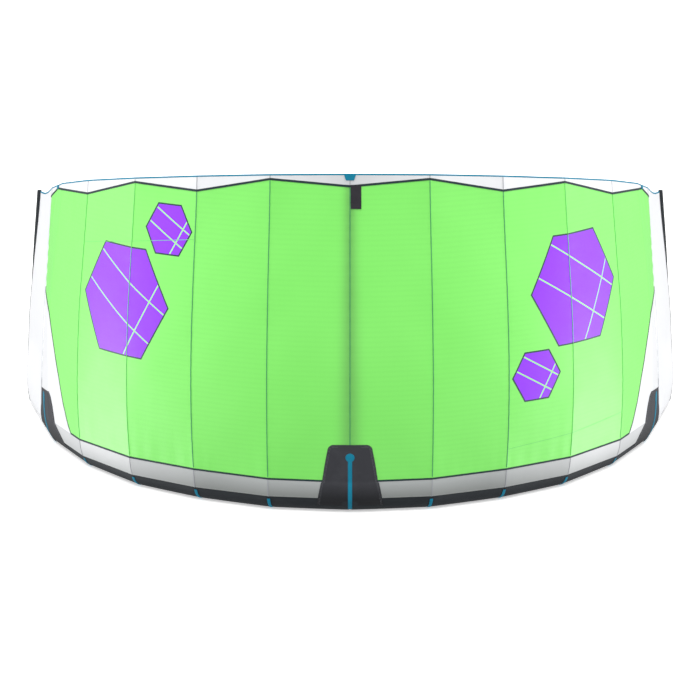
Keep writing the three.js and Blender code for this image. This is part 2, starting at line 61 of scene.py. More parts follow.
# A tip station's place and radius; the angle in plan that its outer side faces; its share of the
# tip panel's height; and where round the tube, and how high over it, the panel is sewn
Tip = namedtuple("Tip", "x y z tube facing share sewn seat")
TIPS = [
    Tip(1.856, 1.794, 0.0456, 0.046, 73.5, 0.0, -11.25, 0.006),
    Tip(1.900, 1.985, 0.180, 0.042, 75.0, 0.15, -11.25, 0.004),
    Tip(1.896, 2.070, 0.417, 0.036, 76.5, 0.34, -11.25, 0.003),
    Tip(1.876, 2.110, 0.834, 0.025, 76.5, 0.68, 48, 0.003),
    Tip(1.845, 2.100, 1.244, 0.014, 76.0, 1.0, 112, 0.003),
]

# Depth of the white trailing-edge strip down to its tape, by seam number
TE_BAND = [(0, 0.062), (1, 0.023), (2, 0.076), (3, 0.022), (4, 0.072), (5.4, 0.018), (6, 0.050)]

# Share of the chord at which the green cloth starts over the outer panel's white gusset
GREEN_EDGE = [
    (4, 0), (4.28, 0), (4.38, 0.05), (4.48, 0.11), (4.6, 0.21), (4.76, 0.315), (5, 0.46), (6, 0.545)]
GUSSET_SEAM = 4  # the gusset and the outer panel start here
OUTER_SEAM = 6
LAST_STATION = len(SEAMS) + len(TIPS) - 1
HUMP_TOP = 0.1768  # highest value of the camber curve, which scales it to 1
FOOT_LEVEL = -0.9
BELOW_FOOT = 0.1  # length of cloth that one level below the foot stands for
BINDING_WIDTH = 0.007
TAPE_WIDTH = 0.008
TIP_CHORD = 1.25
TIP_BULGE = 0.014
TIP_EDGE_DIP = 0.018
TIP_KNEE = 0.015
KNEE_SCALE = 6.75  # 1 over the highest value of side squared times (1 - side)
KNEE_UP_TO = 0.3
TIP_CROWN = 0.005
BILLOW = 0.014
CLOTH_THICK = 0.0008
CLOTH_SEAT = 0.0022
STRIP_ROUND = 0.004
CORNER_STEP = math.radians(22.5)
FRONT_CORNER = -CORNER_STEP / 2
APOTHEM = math.cos(CORNER_STEP / 2)
CENTRE_STRUT = (0.046, 0.030)  # radius at the leading and at the trailing edge
SIDE_STRUT = (0.032, 0.022)
SIDE_STRUT_INBOARD = 0.61
STRUT_DEPTH = 0.0045
CENTRE_PATCH_TOP = 0.389  # height of its upper edge
SIDE_PATCH_FALL = 0.04
TAU = 2 * math.pi
FLIP = np.array([-1, 1, 1])


def unit(vector):
    return vector / np.linalg.norm(vector)


def mix(first, second, share):
    return first + (second - first) * share


def hermite_slopes(knots, values):
    """Slopes for a smooth curve through values at knots that never swings past them."""
    gaps = np.diff(knots)[:, None]
    rises = np.diff(values, axis=0) / gaps
    before, after = rises[:-1], rises[1:]
    same = before * after > 0
    harmonic = 2 * before * after / np.where(same, before + after, 1)
    return np.vstack([rises[:1], np.where(same, harmonic, 0), rises[-1:]])


def hermite(knots, values, slopes, at):
    """Value at one place of the smooth curve through values at knots."""
    i = int(np.clip(np.searchsorted(knots, at) - 1, 0, len(knots) - 2))
    gap = knots[i + 1] - knots[i]
    t = (at - knots[i]) / gap
    a, b = 2 * t**3 - 3 * t**2 + 1, t**3 - 2 * t**2 + t
    c, d = 3 * t**2 - 2 * t**3, t**3 - t**2
    return a * values[i] + b * gap * slopes[i] + c * values[i + 1] + d * gap * slopes[i + 1]


# Leading-edge axis

Station = namedtuple("Station", "at along outward upward radius wide tall")


def axis_stations():
    """Places along the tube's axis with their directions; wide and tall stretch a mitred section."""
    rows = SEAMS + TIPS
    points = [np.array([r.x, r.y, getattr(r, "z", r.tube * APOTHEM)]) for r in rows]
    stations = []
    for i, row in enumerate(rows):
        here = points[i]
        before = points[i - 1] if i else here - (points[1] - here) * [1, -1, 0]
        into = here - before
        onward = into.copy() if i == LAST_STATION else points[i + 1] - here
        if i < len(SEAMS):
            into[2] = onward[2] = 0
        along = unit(unit(into) + unit(onward))
        facing = getattr(row, "facing", None)
        plan = math.atan2(along[1], along[0]) if facing is None else math.radians(facing)
        outward = np.array([math.sin(plan), -math.cos(plan), 0])
        outward = unit(outward - along * outward.dot(along))
        upward = np.cross(outward, along)
        yaw = abs(math.asin(np.clip(unit(into).dot(outward), -1, 1)))
        pitch = abs(math.asin(np.clip(unit(into).dot(upward), -1, 1)))
        stations.append(Station(
            here, along, outward, upward, row.tube * APOTHEM, 1 / math.cos(yaw), 1 / math.cos(pitch)))
    return stations


AXIS = axis_stations()
SWEEP = AXIS[OUTER_SEAM:]
SWEEP_KNOTS = np.concatenate([[0], np.cumsum([
    np.linalg.norm(b.at - a.at) for a, b in zip(SWEEP, SWEEP[1:])])])
SWEEP_POINTS = np.array([s.at for s in SWEEP])
SWEEP_SLOPES = hermite_slopes(SWEEP_KNOTS, SWEEP_POINTS)


def swept_station(number):
    """Station on the smooth sweep of the tip; number counts stations, OUTER_SEAM and up."""
    number = float(np.clip(number, OUTER_SEAM, LAST_STATION))
    i = min(int(number), LAST_STATION - 1)
    share = number - i
    place = mix(SWEEP_KNOTS[i - OUTER_SEAM], SWEEP_KNOTS[i + 1 - OUTER_SEAM], share)
    at = hermite(SWEEP_KNOTS, SWEEP_POINTS, SWEEP_SLOPES, place)
    step = 0.004
    ahead = hermite(SWEEP_KNOTS, SWEEP_POINTS, SWEEP_SLOPES, min(place + step, SWEEP_KNOTS[-1]))
    behind = hermite(SWEEP_KNOTS, SWEEP_POINTS, SWEEP_SLOPES, max(place - step, 0))
    along = unit(ahead - behind)
    outward = mix(AXIS[i].outward, AXIS[i + 1].outward, share)
    outward = unit(outward - along * outward.dot(along))
    radius = mix(AXIS[i].radius, AXIS[i + 1].radius, share)
    return Station(at, along, outward, np.cross(outward, along), radius, 1, 1)


def tube_points(station, angles, lift=0.0):
    """Points round the tube at a station; angle 0 faces outwards, a quarter turn is up."""
    out = np.cos(angles) * (station.radius * station.wide + lift)
    up = np.sin(angles) * (station.radius * station.tall + lift)
    return station.at + out[:, None] * station.outward + up[:, None] * station.upward


# Skin of the kite. Level 1 is the trailing edge, 0 the foot of the canopy, -1 the edge of the
# white cloth on the tube; lower levels run on round the tube.


def seam_section(i, level):
    """Distance out of the tube's axis and height of the skin at a seam, for many levels."""
    row, station = SEAMS[i], AXIS[i]
    rise = np.clip(level, 0, 1)
    hump = rise * (1 - rise) ** 1.6 / HUMP_TOP
    high_out = mix(row.base_out, row.te_out, rise) + row.belly * hump
    high_up = mix(row.base_up, row.te_up, rise)
    fall = np.clip(-level, 0, 1)
    reach = station.radius * station.wide
    foot_out = reach * math.cos(FRONT_CORNER) + CLOTH_SEAT
    foot_up = station.at[2] + station.radius * math.sin(FRONT_CORNER)
    mid_out = mix(row.base_out, foot_out, fall) + STRIP_ROUND * 4 * fall * (1 - fall)
    mid_up = mix(row.base_up, foot_up, fall)
    below = np.clip(-level - 1, 0, None)
    angle = FRONT_CORNER - CORNER_STEP * below
    seat = CLOTH_SEAT * np.clip(1 - below * 4, 0, 1)
    low_out = (reach + seat) * np.cos(angle)
    low_up = station.at[2] + (station.radius + seat) * np.sin(angle)
    out = np.where(level >= 0, high_out, np.where(level >= -1, mid_out, low_out))
    up = np.where(level >= 0, high_up, np.where(level >= -1, mid_up, low_up))
    return out, up


def seam_points(i, level):
    row, station = SEAMS[i], AXIS[i]
    plan = unit(station.outward * [1, 1, 0])
    out, up = seam_section(i, level)
    step = 0.02
    out_high, up_high = seam_section(i, np.minimum(level + step, 1))
    out_low, up_low = seam_section(i, level - step)
    slope = np.hypot(out_high - out_low, up_high - up_low)
    lean, rise = (out_high - out_low) / slope, (up_high - up_low) / slope
    points = np.array([row.x, row.y, 0]) + out[:, None] * plan
    points[:, 2] += up
    points -= (row.drawn * np.clip(level, 0, 1))[:, None] * station.along
    normals = rise[:, None] * plan
    normals[:, 2] -= lean
    return points, normals


def widths():
    """Width of the cloth from the middle of the kite to each seam, halfway up."""
    middles = [seam_points(i, np.array([0.5]))[0][0] for i in range(len(SEAMS))]
    steps = [np.linalg.norm(b - a) for a, b in zip(middles, middles[1:])]
    return np.concatenate([[0], np.cumsum(steps)])


WIDTHS = widths()
CENTRE_CELL = WIDTHS[1]  # width of cloth for one seam number, beside the middle
OUTER_CELL = WIDTHS[OUTER_SEAM] - WIDTHS[OUTER_SEAM - 1]
NUMBERS = np.arange(len(SEAMS))


def along_seams(name, a):
    return float(np.interp(a, NUMBERS, [getattr(row, name) for row in SEAMS]))


def width_at(a):
    return float(np.interp(a, NUMBERS, WIDTHS))


def chord_at(a):
    return along_seams("te_up", a) - along_seams("base_up", a)


def side_strut_line(level):
    return OUTER_SEAM - SIDE_STRUT_INBOARD * np.clip(2 * level - 1, 0, 1) ** 2


# Unevenness of the cloth: its height, how far it reaches from a seam or an edge, and its waves
Ripple = namedtuple("Ripple", "height reach wave")
SEAM_PUCKER = Ripple(0.0007, 0.035, 0.071)
FOOT_GATHER = Ripple(0.0011, 0.11, 0.083)
EDGE_GATHER = Ripple(0.0010, 0.09, 0.12)
DRIFT = 0.0008
CENTRE_VALLEY = 0.004
CENTRE_VALLEY_REACH = (0.055, 0.024)  # at the canopy's foot and at the trailing edge
SIDE_VALLEY = 0.002
SIDE_VALLEY_REACH = 0.03
SIDE_VALLEY_FROM = 4.6  # seam number


def relief(a, level):
    """Small unevenness of taut cloth: strut valleys, puckers at seams and gathers at the edges."""
    u = width_at(a)
    chord = chord_at(a)
    rise = np.clip(level, 0, 1)
    v = rise * chord
    open_cloth = np.clip(level / 0.02, 0, 1)
    calm = np.clip((1 - level) / 0.03, 0, 1)
    valley = -CENTRE_VALLEY * np.exp(-(u / mix(*CENTRE_VALLEY_REACH, rise)) ** 2)
    strut_gap = (a - side_strut_line(level)) * OUTER_CELL
    beside_strut = np.exp(-(strut_gap / SIDE_VALLEY_REACH) ** 2) * np.clip(a - SIDE_VALLEY_FROM, 0, 1)
    valley = valley - SIDE_VALLEY * beside_strut
    nearest = min(abs(u - WIDTHS[i]) for i in (*range(GUSSET_SEAM + 1), OUTER_SEAM))
    pucker = SEAM_PUCKER.height * math.exp(-nearest / SEAM_PUCKER.reach)
    pucker = pucker * np.sin(v * TAU / SEAM_PUCKER.wave + 1.7 * a + 1.3 * np.sin(v * 5.1))
    drift = DRIFT * np.sin(u * 17 + 1.1) * np.sin(v * 13 + 0.6 * u)
    foot = FOOT_GATHER.height * np.exp(-v / FOOT_GATHER.reach)
    foot = foot * np.sin(u * TAU / FOOT_GATHER.wave + 2 * np.sin(u * 9))
    edge = EDGE_GATHER.height * np.exp(-(chord - v) / EDGE_GATHER.reach)
    edge = edge * np.sin(u * TAU / EDGE_GATHER.wave + np.sin(u * 6))
    return valley * calm + open_cloth * (pucker * calm + drift + foot + edge * calm)


def skin(a, level):
    """Points and normals of the kite's skin at one seam number, for many levels; a < 0 is left."""
    side = -1 if a < 0 else 1
    a = abs(a)
    level = np.asarray(level, float)
    i = min(int(a), len(SEAMS) - 2)
    share = a - i
    inner, inner_normal = seam_points(i, level)
    outer, outer_normal = seam_points(i + 1, level)
    points = mix(inner, outer, share)
    normals = mix(inner_normal, outer_normal, share)
    normals /= np.linalg.norm(normals, axis=1)[:, None]
    panel_share = share if a < GUSSET_SEAM else (a - GUSSET_SEAM) / (OUTER_SEAM - GUSSET_SEAM)
    swell = 4 * panel_share * (1 - panel_share) * np.sin(math.pi * np.clip(level, 0, 1))
    points = points + (BILLOW * swell + relief(a, level))[:, None] * normals
    points[:, 1] -= MIDDLE_Y
    points[:, 0] *= side
    normals[:, 0] *= side
    return points, normals


def below_edge(a, depth):
    return 1 - depth / chord_at(abs(a))


def table_at(table, a):
    return float(np.interp(abs(a), *zip(*table)))


def green_start(a):
    return table_at(GREEN_EDGE, a)


def tape_top(a):
    return below_edge(a, table_at(TE_BAND, a) - TAPE_WIDTH / 2 - 0.0005)


def tape_foot(a):
    return below_edge(a, table_at(TE_BAND, a) + TAPE_WIDTH / 2 + 0.003)


def binding_line(a):
    return below_edge(a, BINDING_WIDTH)


# Tip panel: side 0 is the outermost seam, 1 the rising tube; share runs from the foot up

TIP_SHARES = [row.share for row in TIPS]


def tip_edge(share):
    number = len(SEAMS) + float(np.interp(share, TIP_SHARES, range(len(TIPS))))
    station = swept_station(number)
    seat = float(np.interp(share, TIP_SHARES, [row.seat for row in TIPS])) - 0.0012
    sewn = math.radians(float(np.interp(share, TIP_SHARES, [row.sewn for row in TIPS])))
    return tube_points(station, np.array([sewn]), seat)[0], station.outward


def tip_seam_level(share):
    row = SEAMS[OUTER_SEAM]
    foot = float(seam_section(OUTER_SEAM, np.array([-1.0]))[1][0])
    height = mix(foot, row.te_up, share)
    above = (height - row.base_up) / (row.te_up - row.base_up)
    under = (height - row.base_up) / (row.base_up - foot)
    return np.where(height >= row.base_up, above, under)


def tip_skin(side, shares):
    shares = np.asarray(shares, float)
    inner, inner_normal = seam_points(OUTER_SEAM, tip_seam_level(shares))
    edges = [tip_edge(share) for share in shares]
    outer = np.array([point for point, _ in edges])
    outer_normal = np.array([normal for _, normal in edges])
    points = mix(inner, outer, side)
    normals = mix(inner_normal, outer_normal, side)
    normals /= np.linalg.norm(normals, axis=1)[:, None]
    bulge = TIP_BULGE * 4 * side * (1 - side) * np.sin(math.pi * shares)
    knee = np.sin(math.pi * np.clip(shares / KNEE_UP_TO, 0, 1)) * KNEE_SCALE * side**2 * (1 - side)
    pleat = -0.0015 * np.exp(-((side - 0.42) / 0.07) ** 2) * np.clip((shares - 0.55) / 0.4, 0, 1)
    drift = 0.0007 * np.sin(side * 11) * np.sin(shares * 16 + 2 * side)
    points = points + (bulge + TIP_KNEE * knee + pleat + drift * 4 * side * (1 - side))[:, None] * normals
    points[:, 2] -= TIP_EDGE_DIP * math.sin(math.pi * side) * shares**4
    points[:, 1] -= MIDDLE_Y
    return points, normals


# Meshes. A grid holds rows that run up and columns that run outwards to the right.

Grid = namedtuple("Grid", "points normals marks")  # marks are the cloth's own measures, as UV


def grid_of(columns):
    """Grid from columns, each as points, normals and marks."""
    points, normals, marks = (np.stack(part, axis=1) for part in zip(*columns))
    return Grid(points, normals, marks)


def column(place, across, up):
    """One column of a grid: place holds its points and normals, across and up its marks."""
    points, normals = place
    return points, normals, np.stack([np.full(len(points), across), up], axis=1)


def mirror_grid(grid):
    return Grid(grid.points * FLIP, grid.normals * FLIP, grid.marks * [-1, 1])


def mesh_object(name, points, faces, marks, finish):
    mesh = bpy.data.meshes.new(name)
    mesh.from_pydata(points.tolist(), [], faces)
    corners = np.zeros(len(mesh.loops), np.int32)
    mesh.loops.foreach_get("vertex_index", corners)
    layer = mesh.uv_layers.new(name="cloth")
    layer.uv.foreach_set("vector", marks[corners].astype(np.float32).ravel())
    mesh.materials.append(finish)
    mesh.shade_smooth()
    mesh.set_sharp_from_angle(angle=math.radians(38))
    obj = bpy.data.objects.new(name, mesh)
    bpy.context.scene.collection.objects.link(obj)
    return obj


def closed_sheet(name, grid, finish, outer=0.0, inner=-CLOTH_THICK, flipped=False):
    """Closed thin sheet over a grid, from the lift of its outer face to that of its inner face."""
    rows, columns = grid.points.shape[:2]
    at = np.arange(rows * columns).reshape(rows, columns)
    layer = rows * columns
    front = np.stack([at[:-1, :-1], at[:-1, 1:], at[1:, 1:], at[1:, :-1]], -1).reshape(-1, 4)
    loop = np.concatenate([at[0, :-1], at[:-1, -1], at[-1, :0:-1], at[:0:-1, 0]])
    onward = np.roll(loop, -1)
    rim = np.stack([loop, loop + layer, onward + layer, onward], -1)
    faces = np.concatenate([front, front[:, ::-1] + layer, rim])
    if flipped:
        faces = faces[:, ::-1]
    points = np.concatenate([
        (grid.points + grid.normals * lift).reshape(-1, 3) for lift in (outer, inner)])
    marks = np.concatenate([grid.marks.reshape(-1, 2)] * 2)
    return mesh_object(name, points, faces.tolist(), marks, finish)


def round_tube(name, rings, marks, finish, flipped=False):
    """Closed tube through rings of equal count, each end closed by a fan round its middle."""
    sides = len(rings[0])
    points = np.concatenate(rings)
    faces = []
    for i in range(len(rings) - 1):
        for k in range(sides):
            onward = (k + 1) % sides
            faces.append((i * sides + k, (i + 1) * sides + k, (i + 1) * sides + onward, i * sides + onward))
    start = len(points)
    last = (len(rings) - 1) * sides
    ends = np.array([rings[0].mean(axis=0), rings[-1].mean(axis=0)])
    for k in range(sides):
        onward = (k + 1) % sides
        faces.append((start, k, onward))
        faces.append((start + 1, last + onward, last + k))
    if flipped:
        faces = [face[::-1] for face in faces]
    end_marks = np.array([marks[0][0], marks[-1][0]])
    all_marks = np.concatenate([np.concatenate(marks), end_marks])
    return mesh_object(name, np.concatenate([points, ends]), faces, all_marks, finish)


def fitted(obj, slot, *nodes):
    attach(obj, "root")
    if nodes:
        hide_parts(*nodes)
    return obj


def both_sides(stem, number=None):
    """Names and mirror flags of a pair of pieces."""
    tail = "" if number is None else f"_{number}"
    return [(f"{stem}_right{tail}", False), (f"{stem}_left{tail}", True)]


def cut_size(grid):
    """Flat width, length and area of a sheet; the width is square to the length, even on slanted rows."""
    along = np.linalg.norm(np.diff(grid.points, axis=0), axis=2)
    rising = grid.points[1:, 1:] - grid.points[:-1, :-1]
    falling = grid.points[:-1, 1:] - grid.points[1:, :-1]
    cell = np.linalg.norm(np.cross(rising, falling), axis=2) / 2
    step = cell / np.maximum((along[:, :-1] + along[:, 1:]) / 2, 1e-6)
    width, length = step.sum(axis=1).max(), along.sum(axis=0).max()
    return (float(width), float(length)), float(cell.sum())


def lay_sheet(name, grid, finish, slot, outer=0.0, inner=-CLOTH_THICK, flipped=False):
    """A sheet of cloth in place of the solid of its name."""
    piece = closed_sheet(name, grid, FINISHES[finish], outer, inner, flipped)
    fitted(piece, slot, name)
    flat, area = cut_size(grid)


def lay_pair(stem, grid, finish, slot, outer=0.0, inner=-CLOTH_THICK, number=None):
    """A sheet and its mirror image."""
    for name, flipped in both_sides(stem, number):
        lay_sheet(name, mirror_grid(grid) if flipped else grid, finish, slot, outer, inner, flipped)


def tube_pair(stem, rings, marks, finish, number=None):
    """A tube and its mirror image, as names and objects."""
    made = []
    for name, flipped in both_sides(stem, number):
        laid = [ring * FLIP for ring in rings] if flipped else rings
        made.append((name, round_tube(name, laid, marks, FINISHES[finish], flipped)))
    return made


def ring_marks(rings, run, girth):
    """The cloth's measures on a tube: along it, and round it."""
    return [np.stack([np.full(len(r), s), np.linspace(0, girth, len(r))], 1) for r, s in zip(rings, run)]


# Shader building

COLOURS = {
    "green_thread": (0.05, 0.27, 0.12),
    "outline": (0.012, 0.035, 0.05),
    "white": (0.80, 0.81, 0.83),
    # pale and pale_foot_shade are the white tube cloth greyed by painted shade, on its upper part and where
    # it turns down.
    "pale": (0.40, 0.42, 0.42),
    "pale_foot_shade": (0.245, 0.26, 0.25),
    "charcoal": (0.019, 0.023, 0.027),
    "patch": (0.036, 0.037, 0.044),
    "teal": (0.005, 0.205, 0.33),
    "tape": (0.010, 0.028, 0.032),
    "tag": (0.016, 0.014, 0.020),
    "grey_thread": (0.30, 0.31, 0.34),
    "dark_thread": (0.015, 0.03, 0.035),
    "pale_line": (0.40, 0.93, 0.30),
}


class Value:
    """A number that varies over a surface; arithmetic on it adds Math nodes."""

    def __init__(self, shop, socket):
        self.shop = shop
        self.socket = socket

    def _do(self, operation, *others):
        return self.shop.math(operation, self, *others)

    def __add__(self, other):
        return self._do("ADD", other)

    __radd__ = __add__

    def __sub__(self, other):
        return self._do("SUBTRACT", other)

    def __rsub__(self, other):
        return self.shop.math("SUBTRACT", other, self)

    def __mul__(self, other):
        return self._do("MULTIPLY", other)

    __rmul__ = __mul__

    def __truediv__(self, other):
        return self._do("DIVIDE", other)

    def __neg__(self):
        return self._do("MULTIPLY", -1.0)

    def __lt__(self, other):
        return self._do("LESS_THAN", other)

    def __gt__(self, other):
        return self._do("GREATER_THAN", other)

    def __abs__(self):
        return self._do("ABSOLUTE")

    def __pow__(self, other):
        return self._do("POWER", other)

    def cos(self):
        return self._do("COSINE")

    def exp(self):
        return self._do("EXPONENT")

    def top(self, other):
        return self._do("MAXIMUM", other)

    def low(self, other):
        return self._do("MINIMUM", other)

    def held(self):
        """Kept between 0 and 1."""
        return self._do("MAXIMUM", 0.0).low(1.0)


class Bench:
    """Adds nodes to a tree; node() takes a type, its settings and its sockets' values or links."""

    def __init__(self, tree):
        self.tree = tree

    def node(self, kind, settings=None, **sockets):
        node = self.tree.nodes.new(kind)
        for name, value in (settings or {}).items():
            setattr(node, name, value)
        for name, value in sockets.items():
            self.feed(node, name.replace("_", " "), value)
        return node

    def feed(self, node, name, value):
        socket = node.inputs[int(name[1:])] if name[0] == "n" and name[1:].isdigit() else node.inputs[name]
        if isinstance(value, Value):
            self.tree.links.new(value.socket, socket)
        elif isinstance(value, bpy.types.NodeSocket):
            self.tree.links.new(value, socket)
        elif isinstance(value, tuple) and socket.type == "RGBA":
            socket.default_value = (*value[:3], 1)
        else:
            socket.default_value = value

    def math(self, operation, *values):
        sockets = {f"n{i}": value for i, value in enumerate(values)}
        node = self.node("ShaderNodeMath", {"operation": operation}, **sockets)
        return Value(self, node.outputs[0])


class Shop(Bench):
    """Makes one material."""

    def __init__(self, name):
        self.material = bpy.data.materials.new(name)
        self.material.use_nodes = True
        super().__init__(self.material.node_tree)
        self.tree.nodes.clear()

    def marks(self):
        """The cloth's own measures in metres: across the kite and up it."""
        uv = self.node("ShaderNodeUVMap", {"uv_map": "cloth"})
        split = self.node("ShaderNodeSeparateXYZ", None, Vector=uv.outputs[0])
        return Value(self, split.outputs[0]), Value(self, split.outputs[1])

    def noise(self, scale, detail=2.0, roughness=0.5):
        place = self.node("ShaderNodeTexCoord").outputs["Object"]
        texture = self.node(
            "ShaderNodeTexNoise", None, Vector=place, Scale=scale, Detail=detail, Roughness=roughness)
        return Value(self, texture.outputs[0])

    def blend(self, factor, first, second):
        """Colour between two colours."""
        node = self.node("ShaderNodeMix", {"data_type": "RGBA"})
        self.feed(node, "n0", factor)
        self.feed(node, "n6", first)
        self.feed(node, "n7", second)
        return node.outputs[2]

    def bump(self, height, distance, under=None):
        sockets = {"Height": height, "Distance": distance, "Strength": 1.0}
        if under is not None:
            sockets["Normal"] = under
        return self.node("ShaderNodeBump", None, **sockets).outputs[0]

    def finish(self, colour, roughness, normal, specular=0.5, sheen=0.0):
        surface = self.node(
            "ShaderNodeBsdfPrincipled", None, Base_Color=colour, Roughness=roughness, Normal=normal)
        surface.inputs["Specular IOR Level"].default_value = specular
        surface.inputs["Sheen Weight"].default_value = sheen
        output = self.node("ShaderNodeOutputMaterial", None, Surface=surface.outputs[0])
        output.is_active_output = True
        return self.material


def ridge(value, pitch, sharpness):
    """Narrow repeating ridges, 1 on a line and 0 between, from a measure in metres."""
    return ((value * (TAU / pitch)).cos() * 0.5 + 0.5) ** sharpness


RIPSTOP_PITCH = 0.0065
COARSE_PITCH = 0.026


def ripstop_relief(u, v):
    """The square grid of thicker threads in ripstop cloth."""
    return ridge(u, RIPSTOP_PITCH, 9.0).top(ridge(v, RIPSTOP_PITCH, 9.0))


def hexagon(u, v, centre, radius):
    """Distance outside a regular hexagon with a corner at the right, negative within it."""
    across = abs(u - centre[0])
    up = abs(v - centre[1])
    return (across * 0.866 + up * 0.5).top(up) - radius


# Generic printed shapes: centre across and up the cloth, and distance from the middle to a side
PRINTS = [
    ((1.33, 0.93), 0.29), ((1.02, 0.50), 0.13),
    ((-1.33, 0.86), 0.29), ((-1.02, 1.27), 0.13),
]
# Pale lines on each: direction square to the line, and distance from the shape's middle as a
# share of its size
PRINT_LINES = [(0.50, 0.87, 0.42), (0.50, 0.87, -0.24), (0.87, -0.50, 0.60)]


def topmost(masks):
    """1 where any of the masks is 1."""
    whole = masks[0]
    for mask in masks[1:]:
        whole = whole.top(mask)
    return whole


def green_ripstop():
    """Green cloth with its printed shapes, with painted shade over the centre strut."""
    shop = Shop("green_ripstop")
    u, v = shop.marks()
    lines = ripstop_relief(u, v)
    rows = ridge(v, COARSE_PITCH, 2.0)
    cloud = shop.noise(1.7, 2.0)
    colour = shop.blend(cloud, (0.215, 0.82, 0.13), (0.255, 0.87, 0.16))
    colour = shop.blend(lines * 0.10 + rows * 0.05, colour, (0.10, 0.55, 0.06))
    # Painted shade over the centre strut: darker green, widest at the canopy's foot and narrower towards
    # the trailing edge.
    shadow = (-(abs(u) / (0.055 - v * 0.015)) ** 2.0).exp()
    colour = shop.blend(shadow * 0.5, colour, (0.10, 0.24, 0.07))
    filled, rims, strokes = [], [], []
    for centre, radius in PRINTS:
        far = hexagon(u, v, centre, radius)
        filled.append(far < 0.0)
        rims.append(abs(far) < 0.0042)
        for across, up, offset in PRINT_LINES:
            from_line = (u - centre[0]) * across + (v - centre[1]) * up - offset * radius
            strokes.append((abs(from_line) < 0.0035) * filled[-1])
    ink = shop.blend(cloud, (0.255, 0.012, 0.90), (0.31, 0.03, 0.97))
    colour = shop.blend(topmost(filled), colour, ink)
    colour = shop.blend(topmost(strokes), colour, COLOURS["pale_line"])
    colour = shop.blend(topmost(rims), colour, COLOURS["outline"])
    weave = shop.noise(420, 2.0, 0.6)
    crinkle = shop.noise(11, 4.0, 0.55)
    normal = shop.bump(lines + weave * 0.3, 0.00012)
    normal = shop.bump(crinkle, 0.0012, normal)
    roughness = crinkle * 0.10 + 0.36
    return shop.finish(colour, roughness, normal, specular=0.5, sheen=0.05)


def plain_ripstop(name, colour, shade):
    """White cloth with painted shade: greyer in the middle, at the side strut's valley and below the
    canopy's foot.
    """
    shop = Shop(name)
    u, v = shop.marks()
    lines = ripstop_relief(u, v)
    cloud = shop.noise(2.3, 2.0)
    base = shop.blend(cloud, colour, tuple(c * 1.04 for c in colour))
    base = shop.blend(lines * 0.08, base, shade)
    # Painted shade: greyer towards the middle of the kite.
    base = shop.blend((abs(u) * -1.2 + 0.62).held(), base, (0.50, 0.51, 0.53))
    # Painted shade in the side strut's valley, wide on its inner side and narrow on its outer side.
    gap = abs(u) - WIDTHS[OUTER_SEAM]
    valley = (-((gap / 0.045) ** 2.0)).exp() * (gap < 0.0) + (-((gap / 0.012) ** 2.0)).exp() * (gap > 0.0)
    base = shop.blend(valley * 0.5, base, (0.42, 0.43, 0.50))
    # Painted shade below the canopy's foot, deepening further down.
    base = shop.blend(v < 0.0, base, (0.60, 0.61, 0.625))
    base = shop.blend((v * -9.0).held(), base, (0.50, 0.52, 0.52))
    joint = (abs(v) < 0.0014) * (gap < 0.0)
    base = shop.blend(joint * 0.4, base, (0.30, 0.31, 0.34))
    return cloth_finish(shop, base, lines)


def leading_cloth():
    """White cloth on the tube, with painted shade: grey in the middle, darker where it turns down, and
    lighter towards the tips.
    """
    shop = Shop("leading_cloth")
    u, v = shop.marks()
    lines = ripstop_relief(u, v)
    # Painted shade that lifts towards the tips.
    outwards = ((abs(u) - 0.75) / 0.75).held()
    top = shop.blend(outwards, COLOURS["pale"], (0.60, 0.61, 0.625))
    foot = shop.blend(outwards, COLOURS["pale_foot_shade"], (0.50, 0.52, 0.52))
    # Painted shade deepening where the cloth turns down.
    base = shop.blend((v * -11.0).held(), top, foot)
    base = shop.blend(lines * 0.08, base, (0.30, 0.31, 0.33))
    return cloth_finish(shop, base, lines)


def cloth_finish(shop, base, lines):
    weave = shop.noise(420, 2.0, 0.6)
    crinkle = shop.noise(13, 4.0, 0.55)
    normal = shop.bump(lines + weave * 0.3, 0.00012)
    normal = shop.bump(crinkle, 0.0011, normal)
    return shop.finish(base, crinkle * 0.10 + 0.40, normal, specular=0.45, sheen=0.05)


def woven(name, colour, light, pitch=0.0022, roughness=0.55, scuffs=0.35, specular=0.4, foot=None):
    """Heavy woven cloth, webbing or tape, with its weave and worn, paler places, and painted shade towards
    the bottom where a foot colour is given.
    """
    shop = Shop(name)
    u, v = shop.marks()
    weave = ridge(u + v, pitch, 1.5) * ridge(u - v, pitch, 1.5)
    wear = ((shop.noise(6.0, 6.0, 0.65) - 0.52) * 5.0).held()
    grain = shop.noise(260, 2.0, 0.6)
    base = shop.blend(weave * 0.35 + grain * 0.15, colour, light)
    base = shop.blend(wear * scuffs, base, light)
    # Painted shade: darker towards the bottom, where the cloth turns down round the tube.
    if foot is not None:
        base = shop.blend((v * -0.7).held(), base, foot)
    normal = shop.bump(weave + grain * 0.5, 0.00018)
    normal = shop.bump(shop.noise(16, 3.0), 0.0010, normal)
    return shop.finish(base, grain * 0.12 + roughness, normal, specular=specular)


